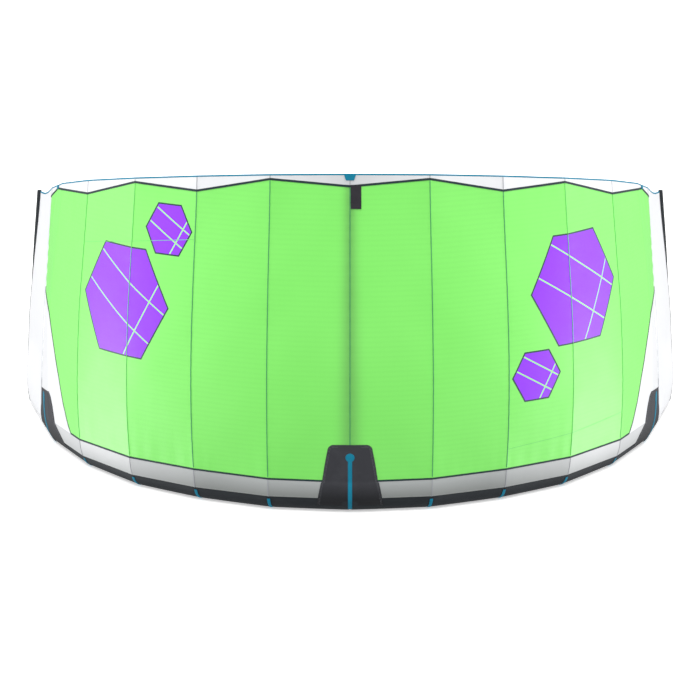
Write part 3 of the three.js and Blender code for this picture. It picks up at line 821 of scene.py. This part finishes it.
def make_finishes():
    pale = {name: tuple(min(1, c * 1.5 + 0.012) for c in COLOURS[name]) for name in COLOURS}
    return {
        "green": green_ripstop(),
        "white": plain_ripstop("white_ripstop", COLOURS["white"], (0.55, 0.57, 0.62)),
        "pale": leading_cloth(),
        "strut": woven("strut_cloth", (0.74, 0.75, 0.77), (0.80, 0.81, 0.83), scuffs=0.2),
        "charcoal": woven("charcoal_cloth", COLOURS["charcoal"], pale["charcoal"], specular=0.2),
        # The patch's foot colour is painted shade where it turns down round the tube.
        "patch": woven("patch_cloth", COLOURS["patch"], pale["patch"], 0.003, specular=0.25,
                       foot=(0.017, 0.018, 0.021)),
        "teal": woven("teal_webbing", COLOURS["teal"], (0.012, 0.25, 0.38), 0.003, 0.5, 0.15, 0.2),
        "tape": woven("dark_tape", COLOURS["tape"], pale["tape"], 0.0018, 0.55, 0.1),
        "tag": woven("tag_cloth", COLOURS["tag"], pale["tag"], 0.0015, 0.5, 0.1),
        "seam": woven("seam_tape", COLOURS["green_thread"], (0.08, 0.36, 0.16), 0.0015, 0.5, 0.1),
        "grey": woven("grey_seam", COLOURS["grey_thread"], (0.42, 0.43, 0.46), 0.0015, 0.5, 0.1),
        "faint": woven("faint_seam", (0.17, 0.68, 0.16), (0.20, 0.72, 0.18), 0.0015, 0.5, 0.1),
        "edging": woven("tip_edging", (0.09, 0.095, 0.105), (0.14, 0.145, 0.155), 0.0015, 0.5, 0.1, 0.2),
        "dark_thread": woven("dark_thread", COLOURS["dark_thread"], pale["dark_thread"], 0.001, 0.5, 0.0),
        "pale_thread": woven("pale_thread", (0.55, 0.57, 0.60), (0.70, 0.71, 0.74), 0.001, 0.5, 0.0),
    }


FINISHES = make_finishes()


# Cloth of the canopy


def panel_columns(first, last, cells):
    """Seam numbers across a panel, closer together near its seams, with the corners of its edges."""
    even = np.linspace(0, 1, cells + 1)
    eased = 0.5 - 0.5 * np.cos(math.pi * even)
    columns = mix(first, last, 0.45 * even + 0.55 * eased)
    for corner, _ in GREEN_EDGE[1:-1] + TE_BAND[1:-1]:
        if first < corner < last:
            columns[np.argmin(abs(columns - corner))] = corner
    return columns


def cloth_between(columns, lower, upper, rows):
    """Grid over the skin between two lines, each a level for a seam number."""
    made = []
    for a in columns:
        levels = mix(lower(a), upper(a), np.linspace(0, 1, rows + 1))
        up = np.where(levels >= 0, levels * chord_at(a), levels * BELOW_FOOT)
        made.append(column(skin(a, levels), width_at(a), up))
    return grid_of(made)


# First and last seam of each panel, and the number of its cells across
PANEL_SPANS = [(0, 1, 24), (1, 2, 24), (2, 3, 24), (3, GUSSET_SEAM, 24), (GUSSET_SEAM, OUTER_SEAM, 44)]
PANEL_ROWS = 96


def whole_span():
    columns = [panel_columns(first, last, count) for first, last, count in PANEL_SPANS]
    return np.concatenate([columns[0]] + [part[1:] for part in columns[1:]])


def make_canopy():
    for number, (first, last, cells) in enumerate(PANEL_SPANS, 1):
        columns = panel_columns(first, last, cells)
        grid = cloth_between(columns, green_start, tape_top, PANEL_ROWS)
        lay_pair("canopy_panel", grid, "green", "green_ripstop", number=number)


def make_edge_cloth():
    span = whole_span()
    strip = cloth_between(span, tape_foot, binding_line, 6)
    lay_pair("te_strip", strip, "white", "white_cloth", 0.0009, 0.0001)
    tapes = [
        ("te_tape", cloth_between(span, tape_foot, tape_top, 2)),
        ("le_tape", cloth_between(span, lambda a: green_start(a) - 0.0015,
                                  lambda a: green_start(a) + 0.0095 / chord_at(a), 2)),
    ]
    for stem, grid in tapes:
        for name, flipped in both_sides(stem):
            laid = mirror_grid(grid) if flipped else grid
            piece = closed_sheet(name, laid, FINISHES["tape"], 0.0017, 0.0003, flipped)
            fitted(piece, "dark_tape", name)


def make_leading_cloth():
    columns = [a for a in whole_span() if a <= GUSSET_SEAM]
    strip = cloth_between(columns, lambda a: FOOT_LEVEL, lambda a: 0.002, 14)
    lay_pair("le_strip", strip, "pale", "pale_cloth", 0.0006, -0.0006)
    made = []
    for a in panel_columns(*PANEL_SPANS[-1]):
        heights = np.linspace(BELOW_FOOT * FOOT_LEVEL, green_start(a) * chord_at(a), 61)
        levels = np.where(heights < 0, heights / BELOW_FOOT, heights / chord_at(a))
        made.append(column(skin(a, levels), width_at(a), heights))
    lay_pair("gusset", grid_of(made), "white", "white_cloth", 0.0004, -0.0006)


TIP_WIDTH = 0.6
TIP_SIDES = np.linspace(0, 1, 25)
TIP_RISE = np.linspace(0, 1 - BINDING_WIDTH / TIP_CHORD, 91)  # shares from the foot to the binding


def make_tip_panels():
    lay_pair("tip_panel", grid_of([
        column(tip_skin(side, TIP_RISE), WIDTHS[OUTER_SEAM] + side * TIP_WIDTH, TIP_RISE * TIP_CHORD)
        for side in TIP_SIDES]), "white", "white_cloth")


def ribbon_section(points, normals, across, half_width, half_thick, steps=10):
    """Rings of a soft-edged ribbon; across is the unit direction of its width at each point."""
    turns = np.linspace(0, TAU, steps, endpoint=False)
    wide = np.sign(np.cos(turns)) * np.abs(np.cos(turns)) ** 0.6
    thick = np.sign(np.sin(turns)) * np.abs(np.sin(turns)) ** 0.8
    return [
        p + np.outer(wide * half_width, c) + np.outer(thick * half_thick, n)
        for p, n, c in zip(points, normals, across)]


def make_binding():
    ends = [skin(a, [binding_line(a), 1.0]) for a in whole_span()]
    ends += [tip_skin(side, [TIP_RISE[-1], 1.0]) for side in TIP_SIDES[1:]]
    points = [place.mean(axis=0) for place, _ in ends]
    normals = [normal[1] for _, normal in ends]
    up = [unit(place[1] - place[0]) for place, _ in ends]
    centre = [p - n * CLOTH_THICK / 2 for p, n in zip(points, normals)]
    rings = ribbon_section(centre, normals, up, BINDING_WIDTH / 2 + 0.0015, 0.0016)
    run = np.concatenate([[0], np.cumsum(np.linalg.norm(np.diff(points, axis=0), axis=1))])
    for name, piece in tube_pair("te_binding", rings, ring_marks(rings, run, 0.015), "teal"):
        fitted(piece, "teal_trim", name)


# Inflated tubes

TUBE_SIDES = 56
TUBE_TURNS = np.linspace(0, TAU, TUBE_SIDES, endpoint=False)


def pucker(distance, radius, phase):
    """Lift of a tube's cloth near a mitred seam: drawn in at the seam, rippled beside it."""
    drawn = -0.0022 * math.exp(-(distance / 0.008) ** 2)
    inner = 0.5 - 0.5 * np.cos(TUBE_TURNS)
    count = round(radius * 260)
    ripple = np.sin(TUBE_TURNS * count + phase) * (0.35 + 0.65 * inner)
    return drawn + 0.0011 * ripple * math.exp(-distance / 0.05) * min(distance / 0.01, 1)


def straight_rings(i, phase):
    """Rings of one straight tube section, closer together near its mitres."""
    first, second = AXIS[i], AXIS[i + 1]
    length = np.linalg.norm(second.at - first.at)
    near = [0, 0.002, 0.005, 0.01, 0.017, 0.026, 0.038, 0.053, 0.072, 0.096, 0.125]
    places = near + list(np.linspace(0.16, length - 0.16, 7)) + [length - d for d in near[::-1]]
    rings = []
    for place in places:
        share = place / length
        lift = pucker(place, first.radius, phase) + pucker(length - place, second.radius, phase + 2)
        crown = 0.0012 * math.sin(math.pi * share)
        ring = mix(tube_points(first, TUBE_TURNS), tube_points(second, TUBE_TURNS), share)
        outer = mix(first.outward, second.outward, share)
        upper = mix(first.upward, second.upward, share)
        direction = np.cos(TUBE_TURNS)[:, None] * outer + np.sin(TUBE_TURNS)[:, None] * upper
        lift = np.minimum(lift + crown, 0.002)
        ring = ring + lift[:, None] * direction
        ring[:, 2] = np.maximum(ring[:, 2], 0.0)
        rings.append(ring)
    return rings, places


def section_rings(first, last):
    """Rings of a tube piece of one or two straight sections, mitred where they meet."""
    rings, places, run = [], [], 0.0
    for i in range(first, last):
        part, where = straight_rings(i, 1.3 * i)
        skip = 1 if rings else 0
        rings += part[skip:]
        places += [run + w for w in where[skip:]]
        run += where[-1]
    return rings, places


def tip_rings():
    """Rings of the tube that sweeps up along the tip, with a low dome on its end."""
    rings, places = [], []
    run, before = 0.0, None
    for number in np.linspace(OUTER_SEAM, LAST_STATION, 90):
        station = swept_station(number)
        run += 0 if before is None else np.linalg.norm(station.at - before)
        before = station.at
        ring = tube_points(station, TUBE_TURNS)
        ring[:, 2] = np.maximum(ring[:, 2], 0.0)
        rings.append(ring)
        places.append(run)
    rim = rings[-1]
    for turn in np.radians([20, 40, 60, 78]):
        reach = TIP_CROWN * math.sin(turn) * station.along
        rings.append((rim - station.at) * math.cos(turn) + station.at + reach)
        places.append(places[-1] + 0.004)
    return rings, places


def make_tubes():
    spans = [(first, last) for first, last, _ in PANEL_SPANS] + [(OUTER_SEAM, LAST_STATION)]
    for number, (first, last) in enumerate(spans, 1):
        rings, places = section_rings(first, last) if first < OUTER_SEAM else tip_rings()
        for ring in rings:
            ring[:, 1] -= MIDDLE_Y
        radius = AXIS[first].radius
        marks = [np.stack([np.full(TUBE_SIDES, p), TUBE_TURNS * radius], 1) for p in places]
        for name, tube in tube_pair("le_tube", rings, marks, "charcoal", number):
            fitted(tube, "charcoal_cloth", name)


def strut_rings(path, at_le, at_te, first, last, steps):
    """Rings and marks of a strut just under the skin, along a path of seam numbers by level."""
    levels = np.linspace(first, last, steps)
    spine = []
    for level in levels:
        place, normal = skin(float(path(level)), np.array([level]))
        radius = mix(at_le, at_te, float(np.clip(level, 0, 1)))
        spine.append((place[0] - normal[0] * (STRUT_DEPTH + radius), normal[0], radius))
    rings, places, run = [], [], 0.0
    for i, (at, normal, radius) in enumerate(spine):
        before, after = spine[max(i - 1, 0)][0], spine[min(i + 1, steps - 1)][0]
        along = unit(after - before)
        side = unit(np.cross(along, normal))
        front = np.cross(side, along)
        run += 0 if i == 0 else np.linalg.norm(at - spine[i - 1][0])
        turns = np.linspace(0, TAU, 40, endpoint=False)
        ripple = 0.0006 * np.sin(turns * 9 + i * 0.7) * math.exp(-min(i, steps - 1 - i) / 4)
        reach = (radius + ripple)[:, None]
        ring = at + reach * (np.cos(turns)[:, None] * front - np.sin(turns)[:, None] * side)
        rings.append(ring)
        places.append(run)
    at, normal, radius = spine[-1]
    for turn in (25, 50, 72):
        lean = math.radians(turn)
        rings.append((rings[steps - 1] - at) * math.cos(lean) + at + along * radius * math.sin(lean))
        places.append(run + radius * math.sin(lean))
    marks = [np.stack([np.full(40, p), np.linspace(0, TAU * at_le, 40)], 1) for p in places]
    return rings, marks


def make_struts():
    rings, marks = strut_rings(lambda level: 0.0, *CENTRE_STRUT, -0.6, 0.965, 70)
    centre = round_tube("strut_centre", rings, marks, FINISHES["strut"])
    fitted(centre, "white_cloth", "strut_centre")
    rings, marks = strut_rings(side_strut_line, *SIDE_STRUT, 0.0, 0.97, 70)
    for name, strut in tube_pair("strut_side", rings, marks, "strut"):
        fitted(strut, "white_cloth", name)


# Patches, straps, tabs and bands lie over the cloth

CHORD_SEAMS = range(GUSSET_SEAM + 1)  # seams that run from the tube to the trailing edge
PATCH_LIFT = 0.0020
PATCH_FACES = (PATCH_LIFT + 0.0006, PATCH_LIFT - 0.001)
STRAP_FACES = tuple(face + 0.0018 for face in PATCH_FACES)


def overlay(rows, cells, turn=None, fall=0.0):
    """Grid from rows, each a level and its two ends as seam numbers.

    One that crosses a seam where the tube turns has its middle column on that seam. fall is the
    level by which its top edge drops from its first end to the other.
    """
    made = []
    top, first, last = rows[-1]
    for c in range(cells + 1):
        points, normals, marks = [], [], []
        for level, start, end in rows:
            middle = mix(start, end, 0.5) if turn is None else turn
            a = float(np.interp(c / cells, [0, 0.5, 1], [start, middle, end]))
            drop = fall * float(np.clip((a - first) / (last - first), 0, 1) * np.clip(level / top, 0, 1))
            place, normal = skin(a, np.array([level - drop]))
            points.append(place[0])
            normals.append(normal[0])
            marks.append([width_at(abs(a)) * (1 if a >= 0 else -1), level * 1.6])
        made.append((np.array(points), np.array(normals), np.array(marks)))
    return grid_of(made)


def height_level(up):
    row = SEAMS[0]
    return (up - row.base_up) / (row.te_up - row.base_up)


def rounded_rows(lines, levels, corner, level_length):
    """Rows of half widths along straight edges, with the top corners rounded off."""
    known = [level for level, _ in lines]
    top = levels[-1]
    rows = []
    for level in levels:
        half = float(np.interp(level, known, [half for _, half in lines]))
        into = (level - top) * level_length / corner + 1
        if into > 0:
            half -= corner * (1 - math.sqrt(max(0.0, 1 - into**2)))
        rows.append((level, half))
    return rows


def eased_levels(first, last, count, corner_share):
    """Levels from first to last, crowded into the rounded end."""
    body = np.linspace(first, last - corner_share, count)
    turns = np.linspace(0, math.pi / 2, 9)[1:]
    return list(body) + list(last - corner_share + corner_share * np.sin(turns))


def round_headed(levels, middle, head, bar, chord):
    """Half widths in metres of a strap whose end is a disc with its centre at one level."""
    halves = []
    for level in levels:
        rise = (level - middle) * chord
        in_head = abs(rise) < head and level > 0
        half = math.sqrt(max(head**2 - rise**2, 0)) if in_head else 0
        halves.append(max(half, bar if rise < 0 else 0, 0.0015))
    return halves


def make_centre_pieces():
    chord = chord_at(0)
    corner = 0.026
    top = height_level(CENTRE_PATCH_TOP)
    lines = [
        (-1.9, 0.176), (-1, 0.170), (-0.5, 0.160), (-0.02, 0.150), (height_level(0.28), 0.130),
        (height_level(0.364), 0.1145), (top, 0.110)]
    levels = list(np.linspace(-1.9, -0.06, 24)) + eased_levels(0.0, top, 16, corner / chord)
    halves = rounded_rows(lines, levels, corner, chord)
    patch_rows = [(level, -half / CENTRE_CELL, half / CENTRE_CELL) for level, half in halves]
    lay_sheet("centre_patch", overlay(patch_rows, 28), "patch", "charcoal_cloth", *PATCH_FACES)
    bar, head, middle = 0.011, 0.0235, height_level(0.319)
    levels = list(np.linspace(-2.9, -0.06, 30)) + list(np.linspace(0, middle - head * 0.9 / chord, 8))
    turns = np.linspace(-math.pi / 2 + 0.45, math.pi / 2, 15)
    levels += list(middle + np.sin(turns) * head / chord)
    halves = round_headed(levels, middle, head, bar, chord)
    rows = [(level, -half / CENTRE_CELL, half / CENTRE_CELL) for level, half in zip(levels, halves)]
    keyhole = overlay(rows, 6)
    lay_sheet("centre_keyhole", keyhole, "teal", "teal_trim", PATCH_LIFT + 0.0022, PATCH_LIFT + 0.0004)
    return {"centre": patch_rows, "keyhole": rows}


def make_side_pieces():
    known = [-1.9, -1, -0.5, -0.02, 0.07, 0.11, 0.125]
    starts = [4.42, 4.56, 4.65, 4.79, 4.85, 4.9, 4.96]
    ends = [5.97, 5.97, 5.975, 5.98, 5.98, 5.98, 5.95]
    levels = list(np.linspace(-1.9, -0.05, 22)) + list(np.linspace(0, 0.125, 14))
    rows = [
        (level, float(np.interp(level, known, starts)), float(np.interp(level, known, ends)))
        for level in levels]
    patch = overlay(rows, 28, turn=5, fall=SIDE_PATCH_FALL)
    known = [-2.9, -1.95, -1, -0.5, 0, 0.066]
    middles = [5.06, 5.14, 5.26, 5.37, 5.5, 5.52]
    bar, head, middle = 0.020, 0.033, 0.066
    chord = chord_at(5.5)
    levels = list(np.linspace(-2.9, -0.12, 26)) + list(np.linspace(-0.08, 0.040, 8))
    turns = np.linspace(-0.5, math.pi / 2, 12)
    levels += list(middle + np.sin(turns) * head / chord)
    strap_rows = []
    for level, half in zip(levels, round_headed(levels, middle, head, bar, chord)):
        at = float(np.interp(level, known, middles))
        strap_rows.append((level, at - half / OUTER_CELL, at + half / OUTER_CELL))
    lay_pair("side_patch", patch, "patch", "charcoal_cloth", *PATCH_FACES)
    lay_pair("side_strap", overlay(strap_rows, 5), "teal", "teal_trim", *STRAP_FACES)
    return {"side": rows, "strap": strap_rows}


def make_seam_bands():
    half = 0.008
    for seam in CHORD_SEAMS[1:]:
        before = half / np.linalg.norm(AXIS[seam].at - AXIS[seam - 1].at)
        after = half / np.linalg.norm(AXIS[seam].at - AXIS[seam + 1].at)
        rows = [(level, seam - before, seam + after) for level in np.linspace(-3.6, -1.12, 26)]
        lay_pair("seam_band", overlay(rows, 6), "teal", "teal_trim", 0.0022, 0.0004, seam)


def make_edge_tabs():
    def tab(middle, top_half, foot_half, depth):
        rows = []
        for share in np.linspace(0, 1, 9):
            half = mix(foot_half, top_half, share)
            half -= 0.15 * foot_half * max(0, 1 - share * 8) ** 2
            rows.append((below_edge(middle, mix(depth, 0.0005, share)), middle - half, middle + half))
        return overlay(rows, 8)

    centre = tab(0, 0.033 / CENTRE_CELL, 0.022 / CENTRE_CELL, 0.033)
    lay_sheet("te_tab_centre", centre, "teal", "teal_trim", 0.0036, 0.0018)
    side = tab(OUTER_SEAM - SIDE_STRUT_INBOARD, 0.09, 0.07, 0.024)
    lay_pair("te_tab", side, "teal", "teal_trim", 0.0036, 0.0018)
    rows = [
        (below_edge(0, mix(0.178, 0.056, share)), 0.004 / CENTRE_CELL, 0.060 / CENTRE_CELL)
        for share in np.linspace(0, 1, 14)]
    lay_sheet("te_tag", overlay(rows, 8), "tag", "charcoal_cloth", 0.0030, 0.0018)


# Seams along the chord and in the outer panels, and the edging of the tips

# Joints across two panels: side, level at their inner end, change of level for each seam, sign
JOINT_SEAMS = [("right", 0.075, 0.02, 1), ("left", 0.79, -0.01, -1)]


def seam_grid(seam, half, levels):
    per_seam = WIDTHS[seam + 1] - WIDTHS[seam]
    rows = [(level, seam - half / per_seam, seam + half / per_seam) for level in levels]
    return overlay(rows, 2)


def make_canopy_seams():
    for seam in CHORD_SEAMS:
        foot = 0.01 if seam else height_level(CENTRE_PATCH_TOP)
        half, dye = (0.0018, "seam") if seam < 3 else (0.0012, "faint")
        spans = [
            ("canopy_seam", np.linspace(foot, tape_foot(seam), 100), dye),
            ("te_strip_seam", np.linspace(tape_top(seam), binding_line(seam), 6), "grey")]
        if seam:
            spans.append(("le_strip_seam", np.linspace(FOOT_LEVEL, -0.01, 12), "grey"))
        for stem, levels, finish in spans:
            grid = seam_grid(seam, half, levels)
            slot = "white_cloth" if finish == "grey" else "green_ripstop"
            pair = both_sides(stem, seam)
            for name, flipped in pair if seam else pair[:1]:
                laid = mirror_grid(grid) if flipped else grid
                fitted(closed_sheet(name, laid, FINISHES[finish], 0.0022, 0.0001, flipped), slot)


def make_joint_seams():
    """A faint seam that runs across two panels, on another height on each side."""
    for side, level, rise, sign in JOINT_SEAMS:
        made = []
        for a in np.linspace(2.02, 3.98, 60):
            levels = level + rise * (a - 2) + np.array([-0.0008, 0.0008])
            made.append(column(skin(a * sign, levels), a, levels * chord_at(a)))
        grid = grid_of(made)
        seam = closed_sheet(f"joint_seam_{side}", grid, FINISHES["faint"], 0.0005, 0.0001, sign < 0)
        fitted(seam, "green_ripstop")


def make_tip_edging():
    """Grey tape that closes the seam between a tip panel and its tube."""
    inner, _ = tip_skin(0.97, TIP_RISE)
    outer, lean = tip_skin(1.0, TIP_RISE)
    across = np.array([unit(b - a) for a, b in zip(inner, outer)])
    rings = ribbon_section(outer + lean * 0.0012 + across * 0.0016, lean, across, 0.0042, 0.0018)
    marks = ring_marks(rings, TIP_RISE * TIP_CHORD, 0.012)
    for _, piece in tube_pair("tip_edging", rings, marks, "edging"):
        fitted(piece, "charcoal_cloth")


# Stitches, sewn along paths by Geometry Nodes

Path = namedtuple("Path", "points ups")


def surface_path(places, lift):
    """Path over the skin through places, each a seam number and a level."""
    found = [skin(a, np.array([level])) for a, level in places]
    points = np.array([p[0] + n[0] * lift for p, n in found])
    return Path(points, np.array([n[0] for _, n in found]))


def mirrored_paths(paths):
    return paths + [Path(path.points * FLIP, path.ups * FLIP) for path in paths]


def path_object(name, paths):
    """Object of bare edges with the cloth's normal at each point, for the stitches to follow."""
    points = np.concatenate([path.points for path in paths])
    ups = np.concatenate([path.ups for path in paths])
    edges, start = [], 0
    for path in paths:
        edges += [(start + i, start + i + 1) for i in range(len(path.points) - 1)]
        start += len(path.points)
    mesh = bpy.data.meshes.new(name)
    mesh.from_pydata(points.tolist(), edges, [])
    normals = mesh.attributes.new("up", "FLOAT_VECTOR", "POINT")
    normals.data.foreach_set("vector", ups.astype(np.float32).ravel())
    obj = bpy.data.objects.new(name, mesh)
    bpy.context.scene.collection.objects.link(obj)
    return obj


STITCH_INPUTS = [
    ("Spacing", "NodeSocketFloat", 0.005), ("Length", "NodeSocketFloat", 0.0036),
    ("Thickness", "NodeSocketFloat", 0.0007), ("Zigzag", "NodeSocketFloat", 0.0),
    ("Unevenness", "NodeSocketFloat", 0.08), ("Seed", "NodeSocketInt", 4),
    ("Thread", "NodeSocketMaterial", None),
]


def stitch_group():
    """Node group that lays stitches along the edges of a mesh; Zigzag turns them in pairs."""
    tree = bpy.data.node_groups.new("stitches", "GeometryNodeTree")
    tree.interface.new_socket("Geometry", in_out="INPUT", socket_type="NodeSocketGeometry")
    tree.interface.new_socket("Geometry", in_out="OUTPUT", socket_type="NodeSocketGeometry")
    for name, kind, value in STITCH_INPUTS:
        item = tree.interface.new_socket(name, in_out="INPUT", socket_type=kind)
        if value is not None:
            item.default_value = value
    bench = Bench(tree)
    given = bench.node("NodeGroupInput").outputs
    curve = bench.node("GeometryNodeMeshToCurve", None, Mesh=given["Geometry"])
    even = bench.node(
        "GeometryNodeResampleCurve", {"mode": "LENGTH"}, Curve=curve.outputs[0], Length=given["Spacing"])
    up = bench.node("GeometryNodeInputNamedAttribute", {"data_type": "FLOAT_VECTOR"}, Name="up")
    along = bench.node("GeometryNodeInputTangent")
    facing = bench.node(
        "FunctionNodeAxesToRotation", {"primary_axis": "Z", "secondary_axis": "X"},
        Primary_Axis=up.outputs[0], Secondary_Axis=along.outputs[0])
    index = Value(bench, bench.node("GeometryNodeInputIndex").outputs[0])
    uneven = bench.node("FunctionNodeRandomValue", {"data_type": "FLOAT"}, Seed=given["Seed"])
    uneven.inputs["Min"].default_value = -1.0
    chance = Value(bench, uneven.outputs["Value"])
    parity = bench.math("MODULO", index, 2.0) * 2.0 - 1.0
    turn = parity * Value(bench, given["Zigzag"]) + chance * Value(bench, given["Unevenness"])
    spin = bench.node("ShaderNodeCombineXYZ", None, Z=turn)
    spin = bench.node("FunctionNodeEulerToRotation", None, Euler=spin.outputs[0])
    turned = bench.node(
        "FunctionNodeRotateRotation", {"rotation_space": "LOCAL"}, Rotation=facing.outputs[0],
        Rotate_By=spin.outputs[0])
    half = Value(bench, given["Thickness"]) * 0.5
    size = bench.node(
        "ShaderNodeCombineXYZ", None, X=Value(bench, given["Length"]) * 0.5, Y=half, Z=half)
    stitch = bench.node("GeometryNodeMeshIcoSphere", None, Radius=1.0, Subdivisions=1)
    laid = bench.node(
        "GeometryNodeInstanceOnPoints", None, Points=even.outputs[0], Instance=stitch.outputs[0],
        Rotation=turned.outputs[0], Scale=size.outputs[0])
    real = bench.node("GeometryNodeRealizeInstances", None, Geometry=laid.outputs[0])
    soft = bench.node("GeometryNodeSetShadeSmooth", None, Geometry=real.outputs[0])
    dyed = bench.node(
        "GeometryNodeSetMaterial", None, Geometry=soft.outputs[0], Material=given["Thread"])
    bench.node("NodeGroupOutput", None, Geometry=dyed.outputs[0])
    return tree


def sew(group, name, paths, slot, **inputs):
    """Turns paths into a mesh of stitches."""
    obj = path_object(name, paths)
    modifier = obj.modifiers.new("stitches", "NODES")
    modifier.node_group = group
    sockets = {
        item.name: item.identifier for item in group.interface.items_tree if item.in_out == "INPUT"}
    for key, value in inputs.items():
        modifier[sockets[key]] = value
    obj.update_tag()
    view = bpy.context.evaluated_depsgraph_get()
    mesh = bpy.data.meshes.new_from_object(obj.evaluated_get(view))
    obj.modifiers.clear()
    obj.data = mesh
    fitted(obj, slot)


def patch_outline(rows, inset, per_seam, fall=0.0):
    """Places along a patch's sides and top, a little inside its edge."""
    edge = rows[-1][0]
    top = edge - inset / chord_at(0)
    left = [(start + inset / per_seam, min(level, top)) for level, start, _ in rows]
    right = [
        (end - inset / per_seam, min(level, top) - fall * max(level / edge, 0))
        for level, _, end in rows[::-1]]
    return left + right


def make_stitches(patches):
    group = stitch_group()
    span = whole_span()
    tapes = []
    for line, offset in ((tape_top, -0.002), (tape_foot, 0.002)):
        tapes.append(surface_path([(a, line(a) + offset / chord_at(a)) for a in span], 0.0019))
    for offset in (0.001, 0.0075):
        tapes.append(surface_path([(a, green_start(a) + offset / chord_at(a)) for a in span], 0.0019))
    sew(group, "tape_stitches", mirrored_paths(tapes), "dark_tape",
        Thread=FINISHES["dark_thread"], Spacing=0.0055, Zigzag=0.5)
    hems = [surface_path([(a, binding_line(a) + 0.001 / chord_at(a)) for a in span], 0.0012)]
    hems.append(surface_path([(a, FOOT_LEVEL + 0.05) for a in span if a <= GUSSET_SEAM], 0.0008))
    sew(group, "hem_stitches", mirrored_paths(hems), "white_cloth",
        Thread=FINISHES["pale_thread"], Spacing=0.005)
    lines, centre = [], []
    for seam in CHORD_SEAMS:
        foot = height_level(0.395) if seam == 0 else 0.015
        levels = np.linspace(foot, tape_foot(seam) - 0.004, 120)
        half = 0.0026 / (WIDTHS[seam + 1] - WIDTHS[seam])
        for sign in (-1, 1):
            path = surface_path([(seam + sign * half, level) for level in levels], 0.0010)
            (lines if seam else centre).append(path)
    sew(group, "seam_stitches", mirrored_paths(lines) + centre, "green_ripstop",
        Thread=FINISHES["faint"], Spacing=0.0055, Zigzag=0.6)
    sides = [
        surface_path(patch_outline(patches["side"], inset, OUTER_CELL, SIDE_PATCH_FALL), 0.0027)
        for inset in (0.006, 0.011)]
    middle = [
        surface_path(patch_outline(patches["centre"], inset, CENTRE_CELL), 0.0027)
        for inset in (0.006, 0.012)]
    sew(group, "patch_stitches", mirrored_paths(sides) + middle, "charcoal_cloth",
        Thread=FINISHES["grey"], Spacing=0.005)
    strap = surface_path(patch_outline(patches["strap"], 0.004, OUTER_CELL), 0.0045)
    keyhole = surface_path(patch_outline(patches["keyhole"], 0.004, CENTRE_CELL), 0.0043)
    sew(group, "strap_stitches", mirrored_paths([strap]) + [keyhole], "teal_trim",
        Thread=FINISHES["dark_thread"], Spacing=0.005)


def make_floor():
    """Pale floor, lit a little from within; no light from it reaches the kite."""
    mesh = bpy.data.meshes.new("floor")
    half = 60.0
    corners = [(-half, -half, 0), (half, -half, 0), (half, half, 0), (-half, half, 0)]
    mesh.from_pydata(corners, [], [(0, 1, 2, 3)])
    floor = bpy.data.objects.new("floor", mesh)
    bpy.context.scene.collection.objects.link(floor)
    floor.location.z = -0.0005
    shop = Shop("floor_paint")
    paper = shop.finish((0.9, 0.9, 0.9), 0.8, shop.bump(shop.noise(3.0), 0.0), specular=0.0)
    surface = paper.node_tree.nodes["Principled BSDF"]
    surface.inputs["Emission Color"].default_value = (1, 1, 1, 1)
    surface.inputs["Emission Strength"].default_value = 0.45
    floor.data.materials.append(paper)
    floor.visible_diffuse = False
    floor.visible_glossy = False
    floor.visible_shadow = False


def sun(name, azimuth, elevation, strength, spread):
    """Soft light from far away; azimuth 0 stands behind the camera, 90 on its right."""
    lamp = bpy.data.lights.new(name, "SUN")
    lamp.energy = strength
    lamp.angle = math.radians(spread)
    obj = bpy.data.objects.new(name, lamp)
    bpy.context.scene.collection.objects.link(obj)
    obj.rotation_euler = (math.radians(90 - elevation), 0, math.radians(azimuth))


def make_light():
    world = bpy.data.worlds.new("studio")
    world.use_nodes = True
    tree = world.node_tree
    background = tree.nodes["Background"]
    place = tree.nodes.new("ShaderNodeTexCoord")
    split = tree.nodes.new("ShaderNodeSeparateXYZ")
    rise = tree.nodes.new("ShaderNodeMapRange")
    tree.links.new(place.outputs["Generated"], split.inputs[0])
    tree.links.new(split.outputs[2], rise.inputs["Value"])
    for name, value in (("From Min", -0.3), ("From Max", 0.3), ("To Min", 0.36), ("To Max", 0.54)):
        rise.inputs[name].default_value = value
    tree.links.new(rise.outputs[0], background.inputs["Strength"])
    background.inputs["Color"].default_value = (1, 1, 1, 1)
    bpy.context.scene.world = world
    sun("over", 0, 70, 3.2, 60)
    for side, name in ((1, "right"), (-1, "left")):
        sun(name, 85 * side, 5, 1.1, 90)
        sun(name + "_gloss", 98 * side, -24, 1.25, 28)
    bpy.context.scene.view_settings.view_transform = "Standard"


CAMERA_AT = (0, -13.0255, 4.3655)  # with its tilt and lens, a fit to the outline seen from the front
CAMERA_TILT = 16.227
CAMERA_LENS = 124.84


def make_camera():
    camera = bpy.data.cameras.new("camera")
    camera.sensor_width = 36
    camera.lens = CAMERA_LENS
    camera.clip_end = 200
    obj = bpy.data.objects.new("camera", camera)
    bpy.context.scene.collection.objects.link(obj)
    obj.location = CAMERA_AT
    obj.rotation_euler = (math.radians(90 - CAMERA_TILT), 0, 0)
    bpy.context.scene.camera = obj


make_camera()
make_light()
make_floor()
make_tubes()
make_struts()
make_canopy()
make_edge_cloth()
make_leading_cloth()
make_tip_panels()
make_binding()
PATCHES = {**make_centre_pieces(), **make_side_pieces()}
make_seam_bands()
make_edge_tabs()
make_canopy_seams()
make_joint_seams()
make_tip_edging()
make_stitches(PATCHES)
